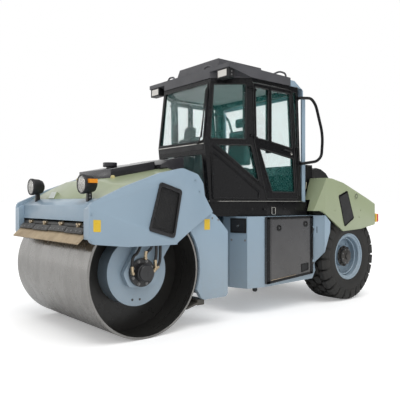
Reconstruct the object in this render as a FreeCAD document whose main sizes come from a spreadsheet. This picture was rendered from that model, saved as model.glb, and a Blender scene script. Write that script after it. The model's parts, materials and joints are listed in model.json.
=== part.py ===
import FreeCAD, Part
import math
import os
import Sketcher

# Single drum road roller. Millimetres, +X forward, +Y to the machine's left, +Z up, origin on the ground under the
# middle of the machine. A rear tractor carries the cab, the hood and two wheels; it is hinged to a front frame that
# carries the drum.

SIZES = {
    # running gear
    "wheelbase": 3470,
    "end_overhang": 760,
    "pivot_back": 1450,
    "pivot_height": 710,
    "drum_radius": 680,
    "drum_width": 1822,
    "drum_wall": 25,
    "web_inset": 380,
    "web_thickness": 20,
    "disc_radius": 365,
    "disc_inset": 180,
    "drum_shaft_radius": 60,
    "tyre_radius": 630,
    "tyre_face": 1000,
    "tyre_width": 460,
    "tyre_sides": 36,
    "lug_height": 38,
    "lug_count": 20,
    "rim_seat_radius": 305,
    "rim_flange_radius": 333,
    "rim_wall": 14,
    "wheel_shaft_radius": 55,
    # clearances
    "shaft_gap": 0.1,
    "panel_gap": 6,
    "seat_gap": 0.3,
    "drum_gap": 25,
    "tyre_gap": 30,
    # front frame
    "plate_face": 971,
    "plate_thickness": 45,
    "inner_plate_thickness": 55,
    "nose_return": 76,
    "grille_inset": 14,
    "grille_thickness": 12,
    "crown_half_width": 400,
    "lid_height": 95,
    "lid_chamfer": 42,
    "breather_radius": 83,
    "lamp_radius": 100,
    "lamp_depth": 150,
    "lamp_spread": 660,
    "lens_thickness": 12,
    "arm_thickness": 60,
    "hose_radius": 14,
    "elbow_radius": 18,
    "motor_flange_radius": 150,
    "motor_cap_radius": 95,
    "scraper_tube_radius": 34,
    "scraper_thickness": 15,
    # articulation
    "steer_pin_radius": 50,
    "roll_pin_radius": 90,
    "ear_thickness": 38,
    "yoke_half_height": 110,
    "cylinder_radius": 42,
    "cylinder_rod_radius": 24,
    "cylinder_spread": 300,
    "cylinder_pin_radius": 20,
    # rear frame
    "box_half_width": 870,
    "box_top": 1237,
    "door_thickness": 35,
    "bay_depth": 180,
    "fender_inset": 5,
    "fender_wall": 20,
    "rail_half_width": 480,
    "rail_thickness": 60,
    "axle_radius": 95,
    "platform_height": 183,
    # cab
    "cab_half_width": 830,
    "cab_front_half_width": 500,
    "cab_waist": 730,
    "cab_upper": 820,
    "cab_wall": 50,
    "glass_inset": 20,
    "glass_thickness": 6,
    "roof_side": 850,
    "roof_thickness": 128,
    "roof_wing_rise": 75,
    "roof_cap_height": 176,
    "lifting_eye_radius": 12,
    "rail_tube_radius": 20,
    "knuckle_radius": 13,
    "knuckle_length": 30,
    "knuckle_pin_radius": 7,
    # rear hood
    "hood_overhang": 40,
    "hood_wall": 30,
    "hood_vent_thickness": 8,
    "intake_half_width": 700,
    "hinge_pin_radius": 15,
    "hitch_height": 120,
    "hitch_plate": 35,
    "hitch_bore_radius": 20,
}


class Size:
    """A length with its number and the cell expression that it is worked out from."""

    def __init__(self, number, text):
        self.number = number
        self.text = text

    def __add__(self, other):
        other = as_size(other)
        return Size(self.number + other.number, f"({self.text} + {other.text})")

    def __sub__(self, other):
        other = as_size(other)
        return Size(self.number - other.number, f"({self.text} - {other.text})")

    def __mul__(self, factor):
        return Size(self.number * factor, f"({self.text} * {factor})")

    def __truediv__(self, factor):
        return Size(self.number / factor, f"({self.text} / {factor})")

    def __neg__(self):
        return Size(-self.number, f"(0 - {self.text})")

    __radd__ = __add__
    __rmul__ = __mul__

    def __rsub__(self, other):
        return as_size(other) - self


def as_size(value):
    return value if isinstance(value, Size) else Size(value, f"({value})")


class Sizes:
    """The spreadsheet's cells by name."""

    def __init__(self, sheet, numbers):
        for row, (name, number) in enumerate(numbers.items(), 1):
            sheet.set(f"A{row}", name)
            sheet.set(f"B{row}", str(number))
            sheet.setAlias(f"B{row}", name)
            setattr(self, name, Size(float(number), f"sizes.{name}"))


doc = FreeCAD.newDocument("road_roller")
sheet = doc.addObject("Spreadsheet::Sheet", "sizes")
s = Sizes(sheet, SIZES)
doc.recompute()
nodes = {}


# ---------------------------------------------------------------- drawing helpers

def bind(obj, prop, value):
    value = as_size(value)
    obj.setExpression(prop, value.text)


def place(obj, x=0, y=0, z=0):
    bind(obj, "Placement.Base.x", x)
    bind(obj, "Placement.Base.y", y)
    bind(obj, "Placement.Base.z", z)
    return obj


def node(name, obj):
    """Name a finished sub-part; its label is its file's name."""
    obj.Label = name
    nodes[name] = obj
    return obj


def block(x, y, z):
    """A box between two values on each axis."""
    obj = doc.addObject("Part::Box", "block")
    for prop, (low, high) in (("Length", x), ("Width", y), ("Height", z)):
        bind(obj, prop, as_size(high) - low)
    return place(obj, x[0], y[0], z[0])


TURNS = {"X": ((0, 1, 0), 90), "Y": ((1, 0, 0), -90), "Z": ((0, 0, 1), 0)}


def rod(axis, centre, start, end, radius):
    """A cylinder along one axis; centre holds the other two coordinates in X, Y, Z order."""
    obj = doc.addObject("Part::Cylinder", "rod")
    bind(obj, "Radius", radius)
    bind(obj, "Height", as_size(end) - start)
    turn_axis, angle = TURNS[axis]
    obj.Placement = FreeCAD.Placement(FreeCAD.Vector(), FreeCAD.Rotation(FreeCAD.Vector(*turn_axis), angle))
    spot = list(centre)
    spot.insert("XYZ".index(axis), start)
    return place(obj, *spot)


def draw_outline(sketch, points):
    """A closed polygon with each corner held by two dimensions from the origin."""
    corners = [(as_size(x), as_size(y)) for x, y in points]
    vectors = [FreeCAD.Vector(x.number, y.number, 0) for x, y in corners]
    first = sketch.GeometryCount
    count = len(corners)
    for index in range(count):
        sketch.addGeometry(Part.LineSegment(vectors[index], vectors[(index + 1) % count]), False)
    for index, (x, y) in enumerate(corners):
        line = first + index
        sketch.addConstraint(Sketcher.Constraint("Coincident", line, 2, first + (index + 1) % count, 1))
        for kind, value in (("DistanceX", x), ("DistanceY", y)):
            number = sketch.addConstraint(Sketcher.Constraint(kind, -1, 1, line, 1, value.number))
            sketch.setExpression(f"Constraints[{number}]", value.text)


def new_body(plane, offset=0):
    """An empty body with a sketch on one of its origin planes, moved along that plane's normal."""
    body = doc.addObject("PartDesign::Body", "body")
    origin_plane = [feature for feature in body.Origin.OriginFeatures if feature.Role == f"{plane}_Plane"][0]
    sketch = body.newObject("Sketcher::SketchObject", "sketch")
    sketch.AttachmentSupport = (origin_plane, [""])
    sketch.MapMode = "FlatFace"
    bind(sketch, "AttachmentOffset.Base.z", offset)
    return body, sketch


def profile(plane, outlines, start, end, rounds=()):
    """Outlines on a plane padded from start to end along X, Y or Z; rounds are (radius, corner points)."""
    backward = plane == "XZ"
    body, sketch = new_body(plane, -as_size(start) if backward else start)
    for outline in outlines:
        draw_outline(sketch, outline)
    pad = body.newObject("PartDesign::Pad", "pad")
    pad.Profile = sketch
    bind(pad, "Length", as_size(end) - start)
    pad.Reversed = backward
    body.Tip = pad
    across, up = [("XYZ".index(letter)) for letter in plane]
    for radius, corners in rounds:
        doc.recompute()
        edges = []
        for number, edge in enumerate(body.Tip.Shape.Edges, 1):
            ends = [vertex.Point for vertex in edge.Vertexes]
            for x, y in corners:
                spot = (as_size(x).number, as_size(y).number)
                if all(math.dist((end[across], end[up]), spot) < 0.01 for end in ends):
                    edges.append(f"Edge{number}")
        last = body.Tip
        fillet = body.newObject("PartDesign::Fillet", "fillet")
        fillet.Base = (last, edges)
        bind(fillet, "Radius", radius)
        body.Tip = fillet
    return body


def turned(outline, x=0, z=0):
    """An outline of (radius, y) points turned about the Y axis through x, z."""
    body, sketch = new_body("XY")
    draw_outline(sketch, outline)
    turn = body.newObject("PartDesign::Revolution", "turn")
    turn.Profile = sketch
    turn.ReferenceAxis = (sketch, ["V_Axis"])
    turn.Angle = 360
    body.Tip = turn
    return place(body, x, 0, z)


def joined(*objects):
    obj = doc.addObject("Part::MultiFuse", "joined")
    obj.Shapes = list(objects)
    obj.Refine = True
    return obj


def cut(base, *tools):
    obj = doc.addObject("Part::Cut", "cut")
    obj.Base = base
    obj.Tool = tools[0] if len(tools) == 1 else group(*tools)
    obj.Refine = True
    return obj


def common(first, second):
    obj = doc.addObject("Part::MultiCommon", "common")
    obj.Shapes = [first, second]
    obj.Refine = True
    return obj


def group(*objects):
    """Like pieces on one body, as solids that don't touch."""
    obj = doc.addObject("Part::Compound", "group")
    obj.Links = list(objects)
    return obj


def mirrored(source):
    """The same piece on the machine's other side."""
    obj = doc.addObject("Part::Mirroring", "mirrored")
    obj.Source = source
    obj.Normal = (0, 1, 0)
    return obj


def both_sides(source):
    return group(source, mirrored(source))


def hull(sections):
    """A ruled solid through level outlines, each given as its height and its corner points."""
    sketches = []
    for height, points in sections:
        sketch = doc.addObject("Sketcher::SketchObject", "level")
        draw_outline(sketch, points)
        bind(sketch, "Placement.Base.z", height)
        sketches.append(sketch)
    obj = doc.addObject("Part::Loft", "hull")
    obj.Sections = sketches
    obj.Solid = True
    obj.Ruled = True
    return obj


def tube(route, radius):
    """A round bar along a route, its bends as wide as the two runs allow."""
    points = [FreeCAD.Vector(*[as_size(value).number for value in point]) for point in route]
    edges = []
    last = points[0]
    for before, corner, after in zip(points, points[1:], points[2:]):
        back = (before - corner).normalize()
        ahead = (after - corner).normalize()
        half_turn = (math.pi - back.getAngle(ahead)) / 2
        reach = 0.45 * min((before - corner).Length, (after - corner).Length)
        start = corner + back * reach
        end = corner + ahead * reach
        bend = reach / math.tan(half_turn)
        centre = corner + (back + ahead).normalize() * math.hypot(reach, bend)
        middle = centre + (corner - centre).normalize() * bend
        edges.append(Part.LineSegment(last, start).toShape())
        edges.append(Part.Arc(start, middle, end).toShape())
        last = end
    edges.append(Part.LineSegment(last, points[-1]).toShape())
    path = Part.Wire(edges)
    section = Part.Wire(Part.makeCircle(as_size(radius).number, points[0], points[1] - points[0]))
    obj = doc.addObject("Part::Feature", "tube")
    obj.Shape = path.makePipeShell([section], True, False)
    return obj


# ---------------------------------------------------------------- shared places

drum_x = s.wheelbase / 2
axle_x = -s.wheelbase / 2
drum_top = s.drum_radius * 2
drum_back = drum_x - s.drum_radius
drum_nose = drum_x + s.drum_radius
drum_edge = s.drum_width / 2
pivot_x = drum_x - s.pivot_back
plate_inner = s.plate_face - s.plate_thickness
lower_inner = plate_inner - s.inner_plate_thickness
cab_nose = pivot_x + 320
floor_z = s.box_top + s.platform_height
waist_z = floor_z + s.cab_waist
eaves_z = waist_z + s.cab_upper
hood_z = s.tyre_radius * 2


# ---------------------------------------------------------------- drum

shell = turned([(s.drum_radius - s.drum_wall, -drum_edge), (s.drum_radius, -drum_edge),
                (s.drum_radius, drum_edge), (s.drum_radius - s.drum_wall, drum_edge)], drum_x, s.drum_radius)
node("drum_shell", shell)

web_outer = drum_edge - s.web_inset
disc_face = drum_edge - s.disc_inset
shaft_bore = s.drum_shaft_radius + s.shaft_gap
web = turned([(s.disc_radius, web_outer), (s.drum_radius - s.drum_wall, web_outer),
              (s.drum_radius - s.drum_wall, web_outer - s.web_thickness),
              (s.disc_radius, web_outer - s.web_thickness)], drum_x, s.drum_radius)
node("drum_webs", both_sides(web))
disc = turned([(shaft_bore, web_outer - s.web_thickness), (s.disc_radius, web_outer - s.web_thickness),
               (s.disc_radius, disc_face), (shaft_bore, disc_face)], drum_x, s.drum_radius)
node("drum_discs", both_sides(disc))


# ---------------------------------------------------------------- front frame

def along(offset):
    """A place on the front frame over the drum, from the drum's axle."""
    return drum_x + offset


def above(offset):
    """A height from the top of the drum."""
    return drum_top + offset


nose_top = (drum_nose + 4, above(42))
nose_bottom = (drum_nose + 4, above(-342))
plate_outline = [nose_top, (along(297), above(213)), (along(-125), above(362)), (along(-427), above(427)),
                 (along(-640), above(366)), (along(-716), above(266)), (along(-738), above(127)),
                 (along(-856), above(-53)), (along(-503), above(-278)), (along(-330), above(-396)),
                 (along(263), above(-390)), nose_bottom]
vent_outline = [(along(-131), above(253)), (along(-400), above(173)), (along(-306), above(-313)),
                (along(6), above(-223))]
plate = profile("XZ", [plate_outline, vent_outline], plate_inner, s.plate_face,
                [(70, [nose_top, nose_bottom]), (120, [plate_outline[3]]), (70, [plate_outline[4]]),
                 (28, vent_outline)])
nose_fold = profile("XZ", [[(drum_nose - 60, above(25)), (drum_nose + 4, above(-10)), (drum_nose + 4, above(-300)),
                            (drum_nose - 60, above(-315))]], plate_inner - s.nose_return, plate_inner)
left_plate = node("side_plate_left", joined(plate, nose_fold))
node("side_plate_right", mirrored(left_plate))

grille = profile("XZ", [vent_outline], s.plate_face - s.grille_inset - s.grille_thickness,
                 s.plate_face - s.grille_inset, [(28, vent_outline)])
node("side_vents", both_sides(grille))

lower_rear = pivot_x + 324
lower_outline = [(along(-560), above(-250)), (along(-650), above(-60)), (along(-856), above(-53)),
                 (along(-939), above(-96)), (lower_rear + 87, above(-190)), (lower_rear, above(-281)),
                 (lower_rear, 351), (lower_rear + 30, 316), (along(-773), 316), (along(-729), 333),
                 (along(-560), 600)]
lower_plate = profile("XZ", [lower_outline], lower_inner, plate_inner, [(25, [lower_outline[5]])])
drum_room = rod("Y", (drum_x, s.drum_radius), -plate_inner, plate_inner, s.drum_radius + s.drum_gap)
left_lower = node("lower_plate_left", cut(lower_plate, drum_room))
node("lower_plate_right", mirrored(left_lower))

beam_face = 60
beam_back = 185


def beam_top(offset):
    """The height of the beam's sloped top at a distance behind the drum's nose."""
    return above(25 + 72 * (offset - beam_face) / (beam_back - beam_face))


beam_outline = [(drum_nose - beam_face, above(-135)), (drum_nose - beam_face, beam_top(beam_face)),
                (drum_nose - beam_back, beam_top(beam_back)), (drum_nose - beam_back, above(40)),
                (drum_nose - 150, above(-135))]
node("nose_beam", profile("XZ", [beam_outline], -plate_inner, plate_inner, [(12, [beam_outline[1]])]))

crosshead = profile("XZ", [[(drum_back - 55, 380), (drum_back - 55, above(-460)), (drum_back - 10, above(-300)),
                            (along(-650), above(-200)), (along(-650), above(-60)), (drum_back - 270, above(-230)),
                            (drum_back - 270, 380)]], -lower_inner, lower_inner)
bulkhead = joined(block((along(-650), along(-600)), (-plate_inner, plate_inner), (above(-50), above(340))),
                  block((along(-650), along(-600)), (-lower_inner, lower_inner), (above(-190), above(-50))))
neck_end = pivot_x + 150
neck_half = s.roll_pin_radius + 70
neck = block((neck_end, drum_back - 270), (-neck_half, neck_half), (s.pivot_height - neck_half,
                                                                   s.pivot_height + neck_half))
roll_bore = rod("X", (0, s.pivot_height), neck_end - 5, neck_end + 235, s.roll_pin_radius + s.shaft_gap)
node("rear_crosshead", cut(joined(crosshead, bulkhead, neck), roll_bore))

# The service hood rises from the nose beam and is crowned along its middle.
hood_edge = plate_inner - 2
crown = s.crown_half_width


def hood_section(x, edge, middle):
    body, sketch = new_body("YZ", x)
    draw_outline(sketch, [(-hood_edge, above(45)), (hood_edge, above(45)), (hood_edge, above(edge)),
                          (crown, above(middle)), (-crown, above(middle)), (-hood_edge, above(edge))])
    return body, sketch


hood_body, hood_front = hood_section(drum_nose - beam_back, 90, 97)
hood_sections = []
for x, edge, middle in ((along(280), 205, 295), (along(-600), 357, 468)):
    section = hood_body.newObject("Sketcher::SketchObject", "section")
    section.AttachmentSupport = hood_front.AttachmentSupport
    section.MapMode = "FlatFace"
    bind(section, "AttachmentOffset.Base.z", x)
    draw_outline(section, [(-hood_edge, above(45)), (hood_edge, above(45)), (hood_edge, above(edge)),
                           (crown, above(middle)), (-crown, above(middle)), (-hood_edge, above(edge))])
    hood_sections.append(section)
hood_loft = hood_body.newObject("PartDesign::AdditiveLoft", "loft")
hood_loft.Profile = hood_front
hood_loft.Sections = hood_sections
hood_loft.Ruled = True
hood_body.Tip = hood_loft
node("front_hood", hood_body)


def crown_height(offset):
    """The height of the hood's crown at a place behind its front slope."""
    return 295 + (280 - offset) * (468 - 295) / 880


lid_front = 120
lid_back = -500
lid_half = crown - 20
lid_outline = [(along(lid_front), above(crown_height(lid_front))),
               (along(lid_front), above(crown_height(lid_front)) + s.lid_height),
               (along(lid_back), above(crown_height(lid_back)) + s.lid_height),
               (along(lid_back), above(crown_height(lid_back)))]
lid = profile("XZ", [lid_outline], -lid_half, lid_half)
doc.recompute()
lid_top = max(lid.Shape.Faces, key=lambda face: face.CenterOfMass.z)
lid_pad = lid.Tip
lid_chamfer = lid.newObject("PartDesign::Chamfer", "chamfer")
lid_chamfer.Base = (lid_pad, [f"Face{index}" for index, face in enumerate(lid.Shape.Faces, 1)
                              if face.isSame(lid_top)])
bind(lid_chamfer, "Size", s.lid_chamfer)
lid.Tip = lid_chamfer
breather_z = above(crown_height(-86)) + s.lid_height
stem = rod("Z", (along(-86), 0), breather_z - 12, breather_z + 18, s.breather_radius * 0.55)
cap = rod("Z", (along(-86), 0), breather_z + 12, breather_z + 62, s.breather_radius)
node("hood_lid", joined(lid, stem, cap))

fairing_outline = [(along(lid_back - 5), above(crown_height(lid_back - 5))), (along(lid_back - 5), above(500)),
                   (along(-640), above(565)), (along(-840), above(605)), (along(-840), above(330)),
                   (along(-650), above(330)), (along(-650), above(340)), (along(-600), above(340)),
                   (along(-600), above(468))]
node("hood_fairing", profile("XZ", [fairing_outline], -(crown + 50), crown + 50))

# Lamps stand on the sloped top of the nose beam.
lamp_z = above(240)
lamp_front = drum_nose - 75
lamp_y = s.lamp_spread
housing = rod("X", (lamp_y, lamp_z), lamp_front - s.lamp_depth, lamp_front, s.lamp_radius)
stalk = profile("XZ", [[(drum_nose - 182, beam_top(182)), (drum_nose - 125, beam_top(125)),
                        (drum_nose - 120, lamp_z - 60), (drum_nose - 182, lamp_z - 60)]], lamp_y - 22, lamp_y + 22)
node("headlamps", both_sides(joined(housing, stalk)))
lens = rod("X", (lamp_y, lamp_z), lamp_front, lamp_front + s.lens_thickness, s.lamp_radius - 14)
node("headlamp_lenses", both_sides(lens))
signal = block((lamp_front - 105, lamp_front - 15), (lamp_y + s.lamp_radius - 8, lamp_y + s.lamp_radius + 30),
               (lamp_z + 8, lamp_z + 48))
node("turn_lamps", both_sides(cut(signal, rod("X", (lamp_y, lamp_z), lamp_front - 300, lamp_front + 100,
                                              s.lamp_radius))))

# An arm on each side reaches from the side plate into the drum and carries its motor.
arm_face = disc_face + 9
arm_outer = arm_face + s.arm_thickness


def hang(offset):
    """A height from the drum's axle."""
    return s.drum_radius + offset


arm_outline = [(along(-390), hang(280)), (along(-330), hang(500)), (along(60), hang(500)), (along(40), hang(280)),
               (along(215), hang(0)), (along(150), hang(-140)), (along(-30), hang(-180)), (along(-190), hang(-120)),
               (along(-235), hang(60))]
arm_low = profile("XZ", [arm_outline], arm_face, arm_outer,
                  [(60, arm_outline[4:9])])
arm_high = profile("XZ", [arm_outline[:4]], arm_outer, plate_inner)
arm_bore = rod("Y", (drum_x, s.drum_radius), arm_face - 5, arm_outer + 5, s.drum_shaft_radius)
node("drum_arms", both_sides(cut(joined(arm_low, arm_high), arm_bore)))
motor_outline = [(0, web_outer + 30), (s.drum_shaft_radius, web_outer + 30), (s.drum_shaft_radius, arm_outer),
                 (s.motor_flange_radius, arm_outer), (s.motor_flange_radius, arm_outer + 35),
                 (s.motor_cap_radius, arm_outer + 35), (s.motor_cap_radius, arm_outer + 90),
                 (s.motor_cap_radius - 12, arm_outer + 98), (0, arm_outer + 98)]
node("drum_motors", both_sides(turned(motor_outline, drum_x, s.drum_radius)))

# Two hoses per side come down from the arm's root to elbows on the motor's flange.
hose_y = arm_outer + 50
hoses = []
for route in (((-80, 280), (-80, 150), (75, 125), (125, 30)), ((-215, 280), (-215, 170), (-190, 90), (-120, 45))):
    hose = tube([(along(x), hose_y, hang(z)) for x, z in route], s.hose_radius)
    end_x, end_z = route[-1]
    elbow = rod("Y", (along(end_x), hang(end_z)), arm_outer + 35, hose_y + 20, s.elbow_radius)
    hoses.append(joined(hose, elbow))
node("drum_hoses", both_sides(group(*hoses)))

# Front scraper: a cross tube, arms, slanted holder plates and a rubber blade.
tube_x = drum_nose - 96
tube_z = above(-185)
scraper_tube = rod("Y", (tube_x, tube_z), -plate_inner, plate_inner, s.scraper_tube_radius)
tip_x = drum_x + s.end_overhang
thick = s.scraper_thickness
holder_outline = [(tube_x + 20, tube_z + 18), (tube_x + 34, tube_z + 34), (tip_x - 62, above(-252)),
                  (tip_x - 74, above(-268))]
holder_spans = ((-820, -428), (-412, -8), (8, 412), (428, 820))
holders = [profile("XZ", [holder_outline], low, high) for low, high in holder_spans]
node("front_scraper", joined(scraper_tube, *holders))
blade_outline = [(tip_x - 104, above(-246)), (tip_x - 74, above(-268)), (tip_x, above(-340)),
                 (tip_x - 16, above(-350)), (tip_x - 118, above(-258))]
node("scraper_blade", profile("XZ", [blade_outline], -845, 845))
rear_bar = block((along(-810), along(-712)), (-lower_inner, lower_inner), (250, 316))
rear_blade = profile("XZ", [[(along(-712), 262), (along(-712), 284), (along(-560), 244), (along(-560), 222)]],
                     -drum_edge + 40, drum_edge - 40)
node("rear_scraper", joined(rear_bar, rear_blade))


# ---------------------------------------------------------------- articulation

yoke_z = s.pivot_height
yoke_low = yoke_z - s.yoke_half_height
yoke_high = yoke_z + s.yoke_half_height
yoke_block = block((pivot_x - 90, pivot_x + 90), (-110, 110), (yoke_low, yoke_high))
yoke_pin = rod("Z", (pivot_x, 0), yoke_low - s.ear_thickness - 12, yoke_high + s.ear_thickness + 12,
               s.steer_pin_radius)
collar = rod("X", (0, yoke_z), pivot_x + 90, neck_end - 1, s.yoke_half_height - 5)
journal = rod("X", (0, yoke_z), pivot_x + 90, neck_end + 225, s.roll_pin_radius)
eye_x = pivot_x + 30
eye_y = 265
wing_gap = s.cylinder_radius + 6
wings = [block((pivot_x - 20, pivot_x + 80), (-eye_y - 45, eye_y + 45), (yoke_z + low, yoke_z + high))
         for low, high in ((-wing_gap - 22, -wing_gap), (wing_gap, wing_gap + 22))]
node("pivot_yoke", joined(yoke_block, yoke_pin, collar, journal, *wings))

bay_back = pivot_x - 700
barrel_x = bay_back + 70
barrel_y = s.cylinder_spread
cylinder_angle = math.degrees(math.atan2(eye_y - barrel_y.number, (eye_x - barrel_x).number))
barrel_length = 440


def steering_cylinder():
    """Barrel and rod along X from the barrel's pin, before they are turned towards the rod's eye."""
    reach = eye_x - barrel_x
    barrel = rod("X", (0, 0), 30, barrel_length, s.cylinder_radius)
    tail = rod("Z", (0, 0), -s.cylinder_radius, s.cylinder_radius, s.cylinder_radius)
    barrel = cut(joined(barrel, tail), rod("Z", (0, 0), -100, 100, s.cylinder_pin_radius + s.shaft_gap),
                 rod("X", (0, 0), 60, barrel_length + 10, s.cylinder_rod_radius + s.shaft_gap))
    shaft = rod("X", (0, 0), 230, reach - 20, s.cylinder_rod_radius)
    eye = rod("Z", (reach, 0), -s.cylinder_radius, s.cylinder_radius, s.cylinder_radius - 4)
    piston_rod = cut(joined(shaft, eye), rod("Z", (reach, 0), -100, 100, s.cylinder_pin_radius))
    return barrel, piston_rod


for name, piece in zip(("steer_barrel", "steer_rod"), steering_cylinder()):
    lying = group(piece)
    lying.Placement = FreeCAD.Placement(FreeCAD.Vector(), FreeCAD.Rotation(FreeCAD.Vector(0, 0, 1), cylinder_angle))
    place(lying, barrel_x, barrel_y, yoke_z)
    node(f"{name}_left", lying)
    node(f"{name}_right", mirrored(lying))


# ---------------------------------------------------------------- rear frame

def aft(offset):
    """A place on the rear frame, from the steering pin."""
    return pivot_x + offset


def stern(offset):
    """A place from the wheel axle."""
    return axle_x + offset


box_y = s.box_half_width
box_side = profile("XZ", [[(aft(-50), 335), (aft(-50), s.box_top), (stern(370), s.box_top), (stern(350), 1150),
                           (stern(600), 530), (stern(710), 366)]], -box_y, box_y)
box_plan = profile("XY", [[(aft(-50), 430), (aft(-50), 550), (aft(-120), box_y - 70), (aft(-350), box_y),
                           (stern(300), box_y), (stern(300), -box_y), (aft(-350), -box_y), (aft(-120), 70 - box_y),
                           (aft(-50), -550), (aft(-50), -430), (bay_back, -430), (bay_back, 430)]], 300, 1300)
wheel_room = rod("Y", (axle_x, s.tyre_radius), s.rail_half_width, s.tyre_face, s.tyre_radius + s.tyre_gap)
door_front = aft(-360)
door_back = stern(740)
bay = block((door_back + 60, door_front - 60), (box_y - s.bay_depth, box_y + 5), (480, s.box_top - 60))
ears = []
for low in (yoke_low - s.ear_thickness - 2, yoke_high + 2):
    plate_plan = profile("XY", [[(bay_back, -250), (bay_back, 250), (pivot_x, 120), (pivot_x + 75, 75),
                                 (pivot_x + 75, -75), (pivot_x, -120)]], low, low + s.ear_thickness)
    ears.append(plate_plan)
ear_bore = rod("Z", (pivot_x, 0), yoke_low - 100, yoke_high + 100, s.steer_pin_radius + s.shaft_gap)
lugs = []
for side in (-1, 1):
    for low, high in ((-wing_gap - 20, -wing_gap + 4), (wing_gap - 4, wing_gap + 20)):
        lugs.append(block((bay_back, barrel_x + 35), (barrel_y * side - 35, barrel_y * side + 35),
                          (yoke_z + low, yoke_z + high)))
    lugs.append(rod("Z", (barrel_x, barrel_y * side), yoke_z - wing_gap - 10, yoke_z + wing_gap + 10,
                    s.cylinder_pin_radius))
frame_block = common(box_side, box_plan)
frame_box = cut(frame_block, wheel_room, mirrored(wheel_room), bay, mirrored(bay))

# Behind the service door the side flares out round the wheel and ends in a slanted edge.
hood_y = s.tyre_face + s.hood_overhang
fender_y = hood_y - s.fender_inset
fender_side = profile("XZ", [[(stern(730), 380), (stern(730), s.box_top), (stern(635), s.box_top), (stern(520), 1144),
                              (stern(531), 1006), (stern(621), 790), (stern(720), 566)]], box_y - 20, fender_y)
fender_plan = profile("XY", [[(stern(730), box_y - 20), (stern(730), box_y), (stern(645), fender_y),
                              (stern(500), fender_y), (stern(500), fender_y - s.fender_wall),
                              (stern(655), fender_y - s.fender_wall), (stern(705), box_y - 20)]], 350, 1300)
fender = common(fender_side, fender_plan)

# Each service door hangs on two hinges at its rear edge: a leaf on the door under a bracket on the fender.
knuckle_z = s.knuckle_length + 1
service_inner = box_y + s.seat_gap
service_outer = service_inner + s.door_thickness
notches = []
service_leaves = []
service_brackets = []
for low in (600, 1060):
    notches.append(block((door_back - 5, door_back + 20), (box_y - 5, service_outer + 20),
                         (low - knuckle_z - 5, low + knuckle_z + 5)))
    leaf = joined(rod("Z", (door_back, service_outer), low - knuckle_z, low - 1, s.knuckle_radius),
                  block((door_back, door_back + 60), (service_outer - 10, service_outer + 4),
                        (low - knuckle_z, low - 1)))
    service_leaves.append(cut(leaf, rod("Z", (door_back, service_outer), low - knuckle_z - 5, low,
                                        s.knuckle_pin_radius + s.shaft_gap)))
    service_brackets += [rod("Z", (door_back, service_outer), low, low + knuckle_z - 1, s.knuckle_radius),
                         rod("Z", (door_back, service_outer), low - knuckle_z, low, s.knuckle_pin_radius),
                         block((door_back - 40, door_back), (box_y - 5, service_outer), (low, low + knuckle_z - 1))]
brackets = joined(*service_brackets)
node("rear_frame_box", cut(joined(frame_box, fender, mirrored(fender), brackets, mirrored(brackets), *ears, *lugs),
                           ear_bore))

rail_y = s.rail_half_width
hinge_x = stern(-710)
hinge_z = 1090
rail = block((stern(-650), stern(560)), (rail_y - s.rail_thickness, rail_y), (730, 1100))
tail_block = block((stern(-650), stern(-510)), (-rail_y, rail_y), (500, 1060))
hinge_ear = profile("XZ", [[(stern(-650), 990), (stern(-650), 1060), (hinge_x - 18, hinge_z + 18),
                            (hinge_x - 18, hinge_z - 18)]], 280, 310)
hinge_pin = rod("Y", (hinge_x, hinge_z), 310, 372, s.hinge_pin_radius)
hitch_x = stern(-695)
hitch_z = 590
hitch = block((hitch_x - 45, stern(-650)), (-60, 60), (hitch_z, hitch_z + s.hitch_height))
hitch_gap = block((hitch_x - 50, stern(-660)), (-65, 65), (hitch_z + s.hitch_plate,
                                                          hitch_z + s.hitch_height - s.hitch_plate))
hitch_bore = rod("Z", (hitch_x, 0), hitch_z - 10, hitch_z + s.hitch_height + 10, s.hitch_bore_radius)
rail_bridge = block((stern(255), stern(300)), (-rail_y, rail_y), (730, 1100))
rails = cut(joined(rail, mirrored(rail)), frame_block)
node("rear_chassis", joined(rails, tail_block, rail_bridge, hinge_ear, mirrored(hinge_ear), hinge_pin,
                            mirrored(hinge_pin), cut(hitch, hitch_gap, hitch_bore)))

hub_inner = s.tyre_face - 330
axle_beam = rod("Y", (axle_x, s.tyre_radius), -hub_inner + 20, hub_inner - 20, s.axle_radius)
differential = doc.addObject("Part::Sphere", "differential")
bind(differential, "Radius", s.axle_radius * 2)
place(differential, axle_x, 0, s.tyre_radius)
spindle = rod("Y", (axle_x, s.tyre_radius), -s.tyre_face + 150, s.tyre_face - 150, s.wheel_shaft_radius)
saddle = block((stern(-80), stern(80)), (rail_y - s.rail_thickness, rail_y), (s.tyre_radius, 730))
node("rear_axle", joined(axle_beam, differential, spindle, saddle, mirrored(saddle)))
engine_mount = block((stern(-300), stern(200)), (-rail_y + s.rail_thickness, rail_y - s.rail_thickness), (860, 900))
node("engine", joined(block((stern(-350), stern(250)), (-300, 300), (900, 1400)), engine_mount))

node("platform", profile("XY", [[(cab_nose - 80, s.cab_front_half_width), (aft(-440), s.cab_half_width), (stern(775), s.cab_half_width),
                                 (stern(775), -s.cab_half_width), (aft(-440), -s.cab_half_width),
                                 (cab_nose - 80, -s.cab_front_half_width)]], s.box_top, floor_z))
radiator_outline = [(stern(770), s.box_top), (stern(662), 1945), (stern(520), 1945), (stern(520), 1700),
                    (stern(600), s.box_top)]
node("radiator_housing", profile("XZ", [radiator_outline], -720, 720))


# ---------------------------------------------------------------- cab

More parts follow.
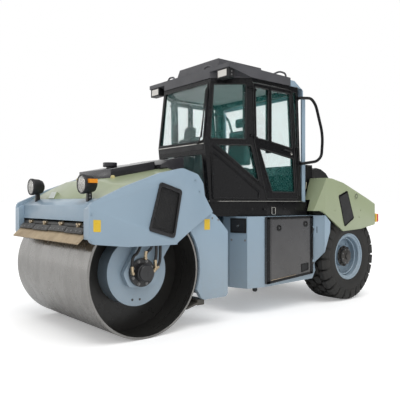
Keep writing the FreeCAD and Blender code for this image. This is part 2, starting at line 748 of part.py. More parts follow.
def cab_hull(inset, bottom, top):
    """The cab's outer skin, or a skin inside it: three level outlines, leaning back above the waist."""
    sections = []
    for height, nose, post, back in ((bottom, -80, -760, -1450), (waist_z, 0, -525, -1410), (top, -100, -490, -1370)):
        side = s.cab_half_width - inset
        front = s.cab_front_half_width - inset * 0.6
        sections.append((height, [(cab_nose + nose - inset, front), (cab_nose + post - inset * 0.3, side),
                                  (cab_nose + back + inset, side), (cab_nose + back + inset, -side),
                                  (cab_nose + post - inset * 0.3, -side), (cab_nose + nose - inset, -front)]))
    return hull(sections)


def window(outline):
    """A prism through the cab's side and its corner facet, to past its face."""
    return profile("XZ", [outline], s.cab_front_half_width - 50, s.cab_half_width + 60)


def doorway(outline):
    """A prism through the cab's flat side wall alone."""
    return profile("XZ", [outline], s.cab_half_width - s.cab_wall, s.cab_half_width + 60)


def cx(offset):
    return cab_nose + offset


def cz(offset):
    return floor_z + offset


gap = s.panel_gap
door_outline = [(cx(-503), eaves_z - 45), (cx(-533), waist_z + 20), (cx(-755), cz(35)), (cx(-1370), cz(35)),
                (cx(-1300), waist_z), (cx(-1235), eaves_z - 45)]
head_gap = s.panel_gap + 8
door_edge = [(x + dx, z + dz) for (x, z), (dx, dz) in
             zip(door_outline, ((-gap, -head_gap), (-gap, 0), (-gap, gap), (gap, gap), (gap, 0), (gap, -head_gap)))]
quarter_outline = [(cx(-1262), eaves_z - 75), (cx(-1330), waist_z), (cx(-1388), cz(90)), (cx(-1405), cz(90)),
                   (cx(-1372), waist_z), (cx(-1335), eaves_z - 75)]
corner_upper = [(cx(-122), eaves_z - 75), (cx(-61), waist_z + 55), (cx(-440), waist_z + 55),
                (cx(-436), eaves_z - 75)]
corner_lower = [(cx(-130), waist_z - 20), (cx(-500), waist_z - 20), (cx(-645), cz(250))]
front_upper = [(-470, waist_z + 30), (470, waist_z + 30), (455, eaves_z - 55), (-455, eaves_z - 55)]
front_lower = [(-430, cz(60)), (430, cz(60)), (430, waist_z - 130), (-430, waist_z - 130)]
rear_outline = [(-690, cz(380)), (690, cz(380)), (690, eaves_z - 90), (-690, eaves_z - 90)]

side_windows = [window(quarter_outline), window(corner_upper), window(corner_lower)]
front_windows = [profile("YZ", [outline], cx(-300), cx(100)) for outline in (front_upper, front_lower)]
rear_window = profile("YZ", [rear_outline], cx(-1500), cx(-1300))
door_hole = doorway(door_outline)

# The gap over each door is wider, since its inner top corner rises as it swings about the leaning hinges.
# Two hinges per door stand on the corner post and lean back with it.
door_leaves = []
post_brackets = []
for height in (90, 690):
    low = as_size(height)
    leaf = joined(rod("Z", (0, 0), low - knuckle_z, low - 1, s.knuckle_radius),
                  block((-70, 0), (-20, -10), (low - knuckle_z, low - 1)))
    door_leaves.append(cut(leaf, rod("Z", (0, 0), low - knuckle_z - 5, low, s.knuckle_pin_radius + s.shaft_gap)))
    post_brackets += [rod("Z", (0, 0), low, low + knuckle_z - 1, s.knuckle_radius),
                      rod("Z", (0, 0), low - knuckle_z, low, s.knuckle_pin_radius),
                      block((0, 44), (-62, 0), (low, low + knuckle_z - 1))]


def on_hinge(*pieces):
    """Pieces drawn about the door's hinge line, put at their place on the left corner post."""
    leaning = joined(*pieces)
    lean = math.degrees(math.atan2(35, s.cab_upper.number))
    leaning.Placement = FreeCAD.Placement(FreeCAD.Vector(), FreeCAD.Rotation(FreeCAD.Vector(0, 1, 0), lean))
    return place(leaning, cx(-525), s.cab_half_width + 20, waist_z)


brackets = on_hinge(*post_brackets)
leaves = on_hinge(*door_leaves)

outer = cab_hull(0, floor_z, eaves_z)
inner = cab_hull(s.cab_wall, floor_z + s.cab_wall, eaves_z + 5)
walls = cut(outer, inner)
mirrored_holes = [mirrored(piece) for piece in side_windows + [door_hole]]
shell_walls = cut(walls, *side_windows, door_hole, *mirrored_holes, *front_windows, rear_window)
node("cab_shell", joined(shell_walls, brackets, mirrored(brackets)))

glass_skin = cut(cab_hull(s.glass_inset, floor_z, eaves_z), cab_hull(s.glass_inset + s.glass_thickness, floor_z,
                                                                  eaves_z + 5))
node("windscreen", common(glass_skin, front_windows[0]))
node("lower_windscreen", common(glass_skin, front_windows[1]))
node("rear_glass", common(glass_skin, rear_window))
side_glass = [common(glass_skin, piece) for piece in side_windows]
node("corner_glass", group(*side_glass[1:], *[mirrored(piece) for piece in side_glass[1:]]))
node("quarter_glass", both_sides(side_glass[0]))

door_upper = [(cx(-548), eaves_z - 105), (cx(-565), waist_z + 75), (cx(-1255), waist_z - 15),
              (cx(-1205), eaves_z - 105)]
door_lower = [(cx(-620), waist_z - 45), (cx(-860), cz(130)), (cx(-1310), cz(130)), (cx(-1272), waist_z - 145)]
door_bar = doorway([(cx(-790), waist_z - 100), (cx(-840), waist_z - 100), (cx(-840), eaves_z), (cx(-790), eaves_z)])
door_panel = common(walls, doorway(door_edge))
door_glass_space = cut(joined(doorway(door_upper), doorway(door_lower)), door_bar)
left_door = node("door_left", joined(cut(door_panel, door_glass_space), leaves))
node("door_right", mirrored(left_door))
left_glass = node("door_glass_left", common(glass_skin, door_glass_space))
node("door_glass_right", mirrored(left_glass))

# Roof: a slab whose front wings rise over the corner facets, a header over the screen and a raised middle.
roof_side = s.roof_side
roof_low = eaves_z
roof_high = roof_low + s.roof_thickness
roof_front = cx(-90)
roof_back = cx(-1200)
wing_start = cx(-470)
wing_low = roof_low + s.roof_wing_rise
slab_outline = [(roof_back, roof_low), (wing_start, roof_low), (roof_front, wing_low), (roof_front, roof_high),
                (roof_back, roof_high - 22)]
roof_slab = profile("XZ", [slab_outline], -roof_side, roof_side)
header_plan = [(roof_front, 485), (cx(-104), s.cab_front_half_width), (cx(-490), s.cab_half_width),
               (cx(-520), s.cab_half_width), (cx(-520), -s.cab_half_width), (cx(-490), -s.cab_half_width),
               (cx(-104), -s.cab_front_half_width), (roof_front, -485)]
header = profile("XY", [header_plan], roof_low, roof_low + 90)


def cap_outline(front, back, side):
    return [(cx(front), side), (cx(back), side), (cx(back), -side), (cx(front), -side)]


roof_cap = hull([(roof_high - 30, cap_outline(-250, -1150, 450)),
                 (roof_high + s.roof_cap_height, cap_outline(-305, -1090, 410))])
front_eye = tube([(cx(-140), 310, roof_high - 10), (cx(-140), 330, roof_high + 40), (cx(-140), 430, roof_high + 50),
                  (cx(-140), 480, roof_high - 10)], s.lifting_eye_radius)
rear_eye = tube([(cx(-900), 780, roof_high - 20), (cx(-1060), 780, roof_high + 55), (cx(-1180), 780, roof_high + 45),
                 (cx(-1190), 780, roof_high - 30)], s.lifting_eye_radius)
node("cab_roof", joined(roof_slab, header, roof_cap, front_eye, mirrored(front_eye), rear_eye,
                        mirrored(rear_eye)))


def wing_height(offset):
    """The height of the wing's underside at a place along the roof."""
    return roof_low + s.roof_wing_rise * ((470 + offset) / 380)


lamp_outline = [(cx(-195), roof_low - 40), (cx(-195), wing_height(-195)), (cx(-98), wing_height(-98)),
                (cx(-98), roof_low - 40)]
node("work_lamps", both_sides(profile("XZ", [lamp_outline], 622, 828)))

# Roll-over frame behind the cab.
post_front = cx(-1475)
post_back = cx(-1545)
post_top = eaves_z - 115
post_y = s.cab_half_width - 10
post = block((post_back, post_front), (post_y - 120, post_y), (floor_z, post_top))
node("roll_bar_posts", both_sides(post))
head_outline = [(roof_back - 2, eaves_z), (roof_back - 2, eaves_z + 86), (cx(-1316), eaves_z + 86),
                (cx(-1494), eaves_z - 25), (cx(-1494), post_top), (post_front, post_top), (post_front, eaves_z)]
node("roll_bar", profile("XZ", [head_outline], -post_y, post_y))

rail_y_out = s.cab_half_width + 60
loop = tube([(cx(-1350), s.cab_half_width, eaves_z - 150), (cx(-1350), rail_y_out, eaves_z - 150),
             (cx(-1585), rail_y_out, eaves_z - 125), (cx(-1685), rail_y_out, eaves_z - 210),
             (cx(-1840), rail_y_out, waist_z + 210), (cx(-1810), rail_y_out, waist_z - 90),
             (cx(-1705), rail_y_out, waist_z - 165), (cx(-1405), rail_y_out, waist_z - 210),
             (cx(-1405), s.cab_half_width, waist_z - 210)], s.rail_tube_radius)
node("grab_rails", both_sides(loop))

# Seat and steering console on the cab floor.
seat_x = cx(-1050)
cab_floor = floor_z + s.cab_wall
pedestal = block((seat_x - 60, seat_x + 260), (-180, 180), (cab_floor, cab_floor + 330))
cushion = block((seat_x - 60, seat_x + 430), (-250, 250), (cab_floor + 330, cab_floor + 440))
back_outline = [(seat_x - 60, cab_floor + 440), (seat_x + 60, cab_floor + 440), (seat_x - 20, cab_floor + 1010),
                (seat_x - 120, cab_floor + 1010)]
back = profile("XZ", [back_outline], -230, 230)
headrest = block((seat_x - 120, seat_x - 30), (-140, 140), (cab_floor + 1010, cab_floor + 1180))
node("seat", joined(pedestal, cushion, back, headrest))
column_outline = [(cx(-420), cab_floor), (cx(-270), cab_floor), (cx(-330), cab_floor + 620),
                  (cx(-450), cab_floor + 620)]
column = profile("XZ", [column_outline], -110, 110)
wheel_centre = (cx(-430), 0)
wheel_low = cab_floor + 676
wheel_high = cab_floor + 704
rim_ring = cut(rod("Z", wheel_centre, wheel_low, wheel_high, 205),
               rod("Z", wheel_centre, wheel_low - 10, wheel_high + 10, 175))
wheel_boss = rod("Z", (cx(-400), 0), cab_floor + 600, wheel_high, 45)
spoke = block((cx(-447), cx(-413)), (-190, 190), (wheel_low + 4, wheel_high - 4))
node("steering_console", joined(column, wheel_boss, spoke, rim_ring))


# ---------------------------------------------------------------- service doors

service_outline = [(door_front, 378), (door_front, s.box_top - 5), (door_back, s.box_top - 5), (door_back, 440)]
service_panel = profile("XZ", [service_outline], service_inner, service_outer, [(12, service_outline[:2])])

left_service = node("service_door_left", joined(cut(service_panel, *notches), *service_leaves))
node("service_door_right", mirrored(left_service))


# ---------------------------------------------------------------- rear hood

hood_rear = axle_x - s.end_overhang
hood_outline = [(stern(795), 1298), (stern(620), 1752), (stern(490), 1745), (stern(223), 1690), (stern(0), 1609),
                (stern(-330), 1488), (hood_rear, 1320), (hood_rear, 1110), (stern(-223), 1030), (stern(223), 1009),
                (stern(703), 1298)]
wall = s.hood_wall
inner_outline = [(stern(795) + 50, 1298 - 100), (stern(600) - wall, 1752 - wall), (stern(480), 1743 - wall),
                 (stern(220), 1688 - wall), (stern(-2), 1607 - wall), (stern(-332), 1486 - wall),
                 (hood_rear + wall, 1318 - wall), (hood_rear + wall, 900), (stern(795) + 50, 900)]
hood_solid = profile("XZ", [hood_outline], -hood_y, hood_y)
bevel_plan = profile("XY", [[(stern(795), hood_y - 80), (stern(640), hood_y), (hood_rear + 185, hood_y),
                             (hood_rear, hood_y - 185), (hood_rear, 185 - hood_y), (hood_rear + 185, -hood_y),
                             (stern(640), -hood_y), (stern(795), 80 - hood_y)]], 900, 1900)
inner_plan = profile("XY", [[(stern(800), hood_y - 80 - wall), (stern(640), hood_y - wall),
                             (hood_rear + 180, hood_y - wall), (hood_rear + wall, hood_y - 185 - wall * 0.5),
                             (hood_rear + wall, 185 + wall * 0.5 - hood_y), (hood_rear + 180, wall - hood_y),
                             (stern(640), wall - hood_y), (stern(800), 80 + wall - hood_y)]], 850, 1950)
inner_side = profile("XZ", [inner_outline], -hood_y, hood_y)
front_mouth = joined(block((stern(480), stern(850)), (-760, 760), (1200, 1850)),
                     block((stern(480), stern(850)), (-s.cab_half_width - 20, s.cab_half_width + 20), (1200, 1450)))
knuckle = block((hinge_x - 20, hinge_x + 20), (314, 366), (hinge_z - 22, 1110))
knuckle_arm = block((hood_rear, hinge_x + 20), (314, 366), (1110, 1130))
knuckle_bore = rod("Y", (hinge_x, hinge_z), 300, 400, s.hinge_pin_radius + s.shaft_gap)
hood_walls = cut(common(hood_solid, bevel_plan), common(inner_side, inner_plan), front_mouth)
node("rear_hood", cut(joined(hood_walls, knuckle, knuckle_arm, mirrored(knuckle), mirrored(knuckle_arm)),
                      knuckle_bore, mirrored(knuckle_bore)))
intake_outline = [(stern(490), 1745), (stern(478), 1885), (stern(400), 1915), (stern(290), 1900), (stern(170), 1845),
                  (stern(90), 1765), (stern(60), 1631), (stern(223), 1690)]
node("intake_cover", profile("XZ", [intake_outline], -s.intake_half_width, s.intake_half_width))
rear_vent_outline = [(stern(341), 1505), (stern(139), 1578), (stern(-20), 1189), (stern(199), 1072)]
node("hood_vents", both_sides(profile("XZ", [rear_vent_outline], hood_y, hood_y + s.hood_vent_thickness,
                                      [(15, rear_vent_outline)])))
tail_lamp = block((0, 55), (0, 34), (1115, 1245))
tail_lamp.Placement = FreeCAD.Placement(FreeCAD.Vector(), FreeCAD.Rotation(FreeCAD.Vector(0, 0, 1), 45))
place(tail_lamp, hood_rear + 100, hood_y - 85, 1115)
node("tail_lamps", both_sides(tail_lamp))


# ---------------------------------------------------------------- wheels

tyre_in = s.tyre_face - s.tyre_width
tread_radius = s.tyre_radius - s.lug_height
tyre_middle = tyre_in + s.tyre_width / 2


def many_sided(offset, radius):
    """A regular ring outline at a distance along Z, for a carcass that its lugs hide."""
    ring = doc.addObject("Part::RegularPolygon", "ring")
    ring.Polygon = SIZES["tyre_sides"]
    bind(ring, "Circumradius", radius)
    bind(ring, "Placement.Base.z", offset - s.tyre_face)
    return ring


def ring_loft(*rings):
    """A many-sided body about Y through rings of (distance from the tyre's outer face, radius)."""
    loft = doc.addObject("Part::Loft", "ring_loft")
    loft.Sections = [many_sided(offset, radius) for offset, radius in rings]
    loft.Solid = True
    loft.Ruled = True
    loft.Placement.Rotation = FreeCAD.Rotation(FreeCAD.Vector(1, 0, 0), 90)
    return loft


def about_axle(angle, *pieces):
    """Pieces drawn at the origin, turned about Y; their group is placed on the axle afterwards."""
    spun = group(*pieces)
    spun.Placement = FreeCAD.Placement(FreeCAD.Vector(), FreeCAD.Rotation(FreeCAD.Vector(0, 1, 0), angle))
    return spun


# Over its flats the bead room just takes the rim's seat and flange.
over_corners = 1 / math.cos(math.pi / SIZES["tyre_sides"])
seat_room = s.rim_seat_radius * over_corners
flange_room = (s.rim_flange_radius + 1) * over_corners
sidewall = s.rim_seat_radius + 120
carcass = ring_loft((0, sidewall), (45, tread_radius), (s.tyre_width - 45, tread_radius), (s.tyre_width, sidewall))
bead_room = ring_loft((-5, flange_room), (44, flange_room), (50, seat_room), (s.tyre_width + 5, seat_room))

# Each lug runs from past the middle to the shoulder, slanted across the tread and bent down over its edge.
lug_low = tread_radius - 70
lug_high = s.tyre_radius - 5


def lug(outer, side):
    plan = profile("XY", [[(-70, tyre_middle - 12 * side), (10, tyre_middle - 12 * side), (80, outer),
                           (-30, outer)]], lug_low, lug_high)
    ends = profile("YZ", [[(tyre_middle - 12 * side, lug_low + 30), (tyre_middle - 12 * side, lug_high),
                           (outer - 45 * side, lug_high), (outer, lug_high - 55), (outer, lug_low),
                           (outer - 40 * side, lug_low)]], -200, 200)
    return common(plan, ends)


pitch = 360 / SIZES["lug_count"]
outer_lug = lug(s.tyre_face - 3, 1)
inner_lug = lug(tyre_in + 3, -1)
lug_ring = [about_axle(pitch * index, outer_lug) for index in range(SIZES["lug_count"])]
lug_ring += [about_axle(pitch * (index + 0.5), inner_lug) for index in range(SIZES["lug_count"])]
left_tyre = node("tyre_left", place(group(cut(joined(carcass, *lug_ring), bead_room)), axle_x, 0, s.tyre_radius))
node("tyre_right", mirrored(left_tyre))
seat_in = s.rim_seat_radius - s.rim_wall
barrel_out = s.tyre_face - 45
barrel_in = tyre_in + 45
hub_bore = s.wheel_shaft_radius + s.shaft_gap
rim_outline = [(hub_bore, hub_inner), (140, hub_inner), (140, s.tyre_face - 215), (seat_in, s.tyre_face - 215),
               (seat_in, barrel_in - 5), (s.rim_seat_radius, barrel_in - 5), (s.rim_seat_radius, barrel_out),
               (s.rim_flange_radius, barrel_out + 6), (s.rim_flange_radius, barrel_out + 18),
               (seat_in, barrel_out), (seat_in - 6, s.tyre_face - 190), (150, s.tyre_face - 190),
               (150, s.tyre_face - 120), (hub_bore, s.tyre_face - 120)]
left_rim = node("rim_left", turned(rim_outline, axle_x, s.tyre_radius))
node("rim_right", mirrored(left_rim))


# ---------------------------------------------------------------- check and write

doc.recompute()
for obj in doc.Objects:
    if "Invalid" in obj.State or "Error" in obj.State:
        raise RuntimeError(f"{obj.Name} ({obj.Label}) did not rebuild: {obj.State}")
os.makedirs("parts", exist_ok=True)
for name, obj in nodes.items():
    if obj.Shape.isNull() or not obj.Shape.isValid():
        raise RuntimeError(f"{name} has no valid shape")
    obj.Shape.exportStep(f"parts/{name}.step")
    print(name, "solids", len(obj.Shape.Solids), "volume", round(obj.Shape.Volume / 1e6, 2), "litres")
print(len(nodes), "sub-parts")
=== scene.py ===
import json
import math

import bmesh
import bpy
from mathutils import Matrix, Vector


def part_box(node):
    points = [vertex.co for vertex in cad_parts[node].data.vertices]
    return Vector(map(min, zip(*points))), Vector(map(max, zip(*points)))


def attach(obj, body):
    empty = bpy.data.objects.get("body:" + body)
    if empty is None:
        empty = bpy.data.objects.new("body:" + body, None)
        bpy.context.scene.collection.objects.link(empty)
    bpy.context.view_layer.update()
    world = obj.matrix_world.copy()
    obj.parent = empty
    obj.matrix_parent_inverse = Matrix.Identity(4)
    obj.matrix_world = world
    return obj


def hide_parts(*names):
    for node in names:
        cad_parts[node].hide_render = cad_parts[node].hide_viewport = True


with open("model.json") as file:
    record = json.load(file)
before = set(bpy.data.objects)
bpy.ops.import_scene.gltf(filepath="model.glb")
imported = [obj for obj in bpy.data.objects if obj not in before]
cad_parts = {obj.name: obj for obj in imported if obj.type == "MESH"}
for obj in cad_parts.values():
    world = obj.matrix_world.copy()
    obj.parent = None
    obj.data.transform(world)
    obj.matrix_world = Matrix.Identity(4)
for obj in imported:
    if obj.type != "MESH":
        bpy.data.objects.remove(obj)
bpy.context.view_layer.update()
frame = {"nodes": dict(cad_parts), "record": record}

nodes = frame["nodes"]
scene = bpy.context.scene
scene.view_settings.view_transform = "Standard"

# ---------------------------------------------------------------- studio
# A pale seamless floor, an even white surround, two soft lamps and a strip that only
# paint and glass mirror. The camera stands off the front left corner, at lamp height.

drum_low, drum_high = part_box("drum_shell")
drum_x = (drum_low.x + drum_high.x) / 2
camera = bpy.data.objects.new("camera", bpy.data.cameras.new("camera"))
scene.collection.objects.link(camera)
camera.location = (drum_x + 2.968, 5.379, 1.416)
camera.rotation_euler = (math.pi / 2, 0, math.pi / 2 + math.radians(50.5))
camera.data.sensor_width = 36
camera.data.lens = 46.35
camera.data.shift_y = 0.00575
camera.data.clip_end = 2000
scene.camera = camera


def feed(tree, node, *values, **inputs):
    """Link or set a node's inputs, in order or by name; None leaves one as it is."""
    named = [(node.inputs[key.replace("_", " ")], value) for key, value in inputs.items()]
    for socket, value in [*zip(node.inputs, values), *named]:
        if isinstance(value, bpy.types.NodeSocket):
            tree.links.new(value, socket)
        elif value is not None:
            socket.default_value = value
    return node


def wired(tree, kind, *values, settings=None, **inputs):
    """A new node in a tree, with its settings made and its inputs fed."""
    node = tree.nodes.new(kind)
    for key, value in (settings or {}).items():
        setattr(node, key, value)
    return feed(tree, node, *values, **inputs)


def toned(colour, factor):
    return tuple(min(1.0, value * factor) for value in colour)


class Shader:
    """A material's node tree, written as short calls."""

    def __init__(self, name):
        self.material = bpy.data.materials.new(name)
        self.material.use_nodes = True
        self.tree = self.material.node_tree
        self.place = self.add("ShaderNodeTexCoord").outputs["Object"]

    def add(self, kind, *values, **inputs):
        return wired(self.tree, kind, *values, **inputs)

    def noise(self, scale, detail=4, roughness=0.55, stretch=(1, 1, 1)):
        """A noise in object space, its grain drawn out or squeezed along each axis."""
        mapping = self.add("ShaderNodeMapping", Vector=self.place, Scale=stretch)
        return self.add("ShaderNodeTexNoise", Vector=mapping.outputs["Vector"], Scale=scale, Detail=detail,
                        Roughness=roughness).outputs["Fac"]

    def height(self, low, high):
        """0 below a height and 1 above another."""
        parts = self.add("ShaderNodeSeparateXYZ", self.place)
        return self.add("ShaderNodeMapRange", parts.outputs["Z"], low, high).outputs["Result"]

    def product(self, first, second):
        return self.add("ShaderNodeMath", first, second,
                        settings={"operation": "MULTIPLY", "use_clamp": True}).outputs["Value"]

    def ramp(self, factor, *stops):
        """Colours or greys at places along a factor."""
        node = self.add("ShaderNodeValToRGB", Fac=factor)
        elements = node.color_ramp.elements
        while len(elements) < len(stops):
            elements.new(0.5)
        for element, (place, colour) in zip(elements, stops):
            element.position = place
            element.color = (*(colour if isinstance(colour, tuple) else (colour,) * 3), 1)
        return node.outputs["Color"]

    def mix(self, factor, first, second):
        """A colour laid over another one by a factor."""
        node = self.add("ShaderNodeMix", settings={"data_type": "RGBA", "blend_type": "MIX"})
        feed(self.tree, node, factor, *[None] * 5, first, (*second, 1))
        return node.outputs[2]

    def bump(self, height, strength, distance, edge=0.0):
        """A surface normal with small relief, and with edges rounded by a radius."""
        node = self.add("ShaderNodeBump", Height=height, Strength=strength, Distance=distance)
        if edge:
            ground = self.add("ShaderNodeBevel", Radius=edge, settings={"samples": 4})
            feed(self.tree, node, Normal=ground.outputs["Normal"])
        return node.outputs["Normal"]

    def finish(self, **inputs):
        feed(self.tree, self.tree.nodes["Principled BSDF"], **inputs)
        return self.material


def placed(name, data, body=None):
    """An object at the origin, its place in its own data, riding on a body."""
    piece = bpy.data.objects.new(name, data)
    scene.collection.objects.link(piece)
    if body:
        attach(piece, body)
    return piece


def settled(piece):
    """The plain mesh that a piece's modifiers leave."""
    bpy.context.view_layer.update()
    return bpy.data.meshes.new_from_object(piece.evaluated_get(bpy.context.evaluated_depsgraph_get()))


def reworked(mesh, *steps):
    """Take a mesh through steps of mesh work."""
    work = bmesh.new()
    work.from_mesh(mesh)
    for step in steps:
        step(work)
    work.to_mesh(mesh)
    work.free()


def eased(piece, width, angle):
    """Round every edge that is sharper than an angle."""
    edges = piece.modifiers.new("edges", "BEVEL")
    edges.width = width
    edges.segments = 2
    edges.limit_method = "ANGLE"
    edges.angle_limit = math.radians(angle)
    return edges


def mesh_piece(name, verts, faces, material, body=None, smooth=None, bevel=0.0):
    """A new piece with its faces turned outward; smooth is the angle that still looks round."""
    mesh = bpy.data.meshes.new(name)
    mesh.from_pydata([tuple(vert) for vert in verts], [], faces)
    mesh.materials.append(material)
    if body:
        reworked(mesh, lambda work: bmesh.ops.remove_doubles(work, verts=work.verts, dist=1e-6),
                 lambda work: bmesh.ops.recalc_face_normals(work, faces=work.faces))
    piece = placed(name, mesh, body)
    if bevel:
        eased(piece, bevel, 35)
    if smooth or bevel:
        mesh.shade_smooth()
        mesh.set_sharp_from_angle(angle=math.radians(smooth or 35))
    return piece


def studio_paper():
    """Matt paper that the camera sees a little brighter than it is lit."""
    shade = Shader("studio_paper")
    rays = shade.add("ShaderNodeLightPath").outputs
    glow = shade.add("ShaderNodeMapRange", rays["Is Camera Ray"], 0.0, 1.0, 0.0, 0.28).outputs["Result"]
    return shade.finish(Base_Color=shade.ramp(shade.noise(0.4), (0.3, 0.93), (0.7, 0.95)), Roughness=0.9,
                        Emission_Color=(1, 1, 1, 1), Emission_Strength=glow)


floor_reach = 900
floor_corners = [(x * floor_reach, y * floor_reach, 0) for x, y in ((-1, -1), (1, -1), (1, 1), (-1, 1))]
mesh_piece("studio_floor", floor_corners, [(0, 1, 2, 3)], studio_paper())

# Mirrored in paint and glass, the room is bright beyond the right side and dim on the left.
world = bpy.data.worlds.new("surround")
world.use_nodes = True
scene.world = world
surround = world.node_tree
rays = surround.nodes.new("ShaderNodeLightPath").outputs
direction = surround.nodes.new("ShaderNodeTexCoord").outputs["Generated"]


def along_axis(axis):
    product = wired(surround, "ShaderNodeVectorMath", direction, axis, settings={"operation": "DOT_PRODUCT"})
    return product.outputs["Value"]


def level_of(value, *levels):
    """A value between two limits turned into a level between two others."""
    return wired(surround, "ShaderNodeMapRange", value, *levels).outputs["Result"]


def combined(operation, first, second):
    return wired(surround, "ShaderNodeMath", first, second, settings={"operation": operation}).outputs[0]


from_walls = level_of(along_axis((0.38, -0.80, 0.32)), -0.75, 0.45, 0.10, 1.08)
from_ceiling = level_of(along_axis((0, 0, 1)), 0.30, 0.90, 1.0, 0.60)
mirrored_level = combined("MULTIPLY", from_walls, from_ceiling)
seen = combined("MAXIMUM", rays["Is Camera Ray"], rays["Is Transmission Ray"])
open_level = level_of(seen, 0.0, 1.0, 0.62, 1.0)
feed(surround, surround.nodes["Background"], Color=(1, 1, 1, 1),
     Strength=level_of(rays["Is Glossy Ray"], 0.0, 1.0, open_level, mirrored_level))


def lamp(name, direction, strength, spread, only_mirrored=False):
    """A broad distant lamp that shines along a direction."""
    data = bpy.data.lights.new(name, "SUN")
    data.energy = strength
    data.angle = math.radians(spread)
    light = placed(name, data)
    light.rotation_euler = Vector(direction).to_track_quat("-Z", "Y").to_euler()
    light.visible_diffuse = not only_mirrored


lamp("key_lamp", (-0.15, -0.45, -1.0), 1.15, 40)
lamp("side_lamp", (-0.10, -1.0, -0.35), 0.4, 60)
lamp("strip_lamp", (-0.632, 0.770, -0.095), 0.045, 5, only_mirrored=True)

# ---------------------------------------------------------------- front frame
# Two thick steel side plates, a nose beam and a crosshead behind the drum, welded and
# sprayed in light steel blue. Flame-cut edges are ground round before the paint.

FRONT = "front_frame"
SIDES = ((1, "left"), (-1, "right"))
body_of = {node: body for body, names in frame["record"]["behaviour"]["bodies"].items() for node in names}


def paint(name, colour, roughness=0.36, variation=0.05, edge=0.004, dust=0.0, coat=0.0, gloss=0.5):
    """Sprayed paint: a slow change of tone, a faint ripple, and dust that gathers low down."""
    shade = Shader(name)
    tone = shade.ramp(shade.noise(1.3, detail=6), (0.3, toned(colour, 1 - variation)),
                      (0.7, toned(colour, 1 + variation)))
    if dust:
        specks = shade.product(shade.noise(14, detail=8, roughness=0.75), shade.height(1.1, 0.2))
        tone = shade.mix(shade.product(specks, dust), tone, (0.30, 0.27, 0.22))
    wear = shade.ramp(shade.noise(9, detail=8, roughness=0.7), (0.45, roughness * 0.85), (0.7, roughness * 1.2))
    return shade.finish(Base_Color=tone, Roughness=wear, Coat_Weight=coat, Coat_Roughness=0.15,
                        Specular_IOR_Level=gloss, Normal=shade.bump(shade.noise(70, detail=2), 0.06, 0.002, edge))


def coated(mesh, material):
    mesh.materials.clear()
    mesh.materials.append(material)


def dress(material, *names):
    """Give CAD nodes their material."""
    for name in names:
        coated(nodes[name].data, material)


def rounded(name, material, radius):
    """A CAD node's merged copy with its edges ground round, standing for the node."""
    mesh = nodes[name].data.copy()
    reworked(mesh, lambda work: bmesh.ops.remove_doubles(work, verts=work.verts, dist=1e-5),
             lambda work: bmesh.ops.dissolve_limit(work, angle_limit=math.radians(0.6), verts=work.verts,
                                                   edges=work.edges))
    coated(mesh, material)
    piece = placed(f"{name}_finished", mesh, body_of[name])
    eased(piece, radius, 24).harden_normals = True
    mesh.shade_smooth()
    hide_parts(name)


blue_paint = paint("blue_paint", (0.285, 0.385, 0.475), dust=0.5, coat=0.15)
for name in ("side_plate_left", "side_plate_right", "lower_plate_left", "lower_plate_right", "nose_beam"):
    rounded(name, blue_paint, 0.006)
dress(blue_paint, "rear_crosshead", "pivot_yoke", "rear_chassis", "rear_axle", "rear_frame_box", "roll_bar",
      "drum_arms", "drum_discs", "rim_left", "rim_right")


def outline_plate(name, points, offset, material, body, bevel=0.003):
    """A flat plate: a polygon of points carried along an offset."""
    count = len(points)
    base = [Vector(point) for point in points]
    verts = base + [point + Vector(offset) for point in base]
    faces = [tuple(range(count)), tuple(range(2 * count - 1, count - 1, -1))]
    faces += [(i, i + count, (i + 1) % count + count, (i + 1) % count) for i in range(count)]
    return mesh_piece(name, verts, faces, material, body, bevel=bevel)


def rounded_outline(points, radius, steps=4):
    """A flat polygon's corners turned into short arcs."""
    result = []
    count = len(points)
    for index in range(count):
        corner = Vector(points[index])
        back = (Vector(points[index - 1]) - corner).normalized()
        ahead = (Vector(points[(index + 1) % count]) - corner).normalized()
        reach = radius / math.tan(back.angle(ahead) / 2)
        first, last = corner + back * reach, corner + ahead * reach
        for step in range(steps + 1):
            part = step / steps
            result.append(first * (1 - part) ** 2 + corner * 2 * part * (1 - part) + last * part ** 2)
    return result


def flank(spots, origin, corner=0.0):
    """A polygon along the machine from (x, z) spots about an origin, its corners rounded or not."""
    points = [Vector((origin[0] + x, origin[1], origin[2] + z)) for x, z in spots]
    return rounded_outline(points, corner) if corner else points


def flank_plates(title, spots, origin, depth, material, body, bevel=0.003, corner=0.0):
    """The same plate on both sides, thick outward by a depth; {} in a name is the side."""
    x, reach, z = origin
    return [outline_plate(title.format(name), flank(spots, (x, side * reach, z), corner), (0, side * depth, 0),
                          material, body.format(name), bevel) for side, name in SIDES]


def geometry_tree(title, result, **given):
    """A new tree with its given inputs, and what hands its result out in a finish."""
    tree = bpy.data.node_groups.new(title, "GeometryNodeTree")
    for name, kind in given.items():
        tree.interface.new_socket(name, in_out="INPUT", socket_type=f"NodeSocket{kind}")
    tree.interface.new_socket(result, in_out="OUTPUT", socket_type="NodeSocketGeometry")
    inputs = tree.nodes.new("NodeGroupInput").outputs

    def hand_out(points, instance, rotation, offset=None):
        """Copies on points, made real, shifted by an offset and given their finish."""
        spread = wired(tree, "GeometryNodeInstanceOnPoints", Points=points, Instance=instance, Rotation=rotation)
        solid = wired(tree, "GeometryNodeRealizeInstances", spread.outputs["Instances"])
        if offset:
            solid = wired(tree, "GeometryNodeTransform", Geometry=solid.outputs["Geometry"], Translation=offset)
        coat = wired(tree, "GeometryNodeSetMaterial", Geometry=solid.outputs["Geometry"], Material=inputs["Finish"])
        wired(tree, "NodeGroupOutput", coat.outputs["Geometry"])
        return tree

    return tree, inputs, hand_out


def scaled(tree, value, factor):
    return wired(tree, "ShaderNodeMath", value, factor, settings={"operation": "MULTIPLY"}).outputs[0]


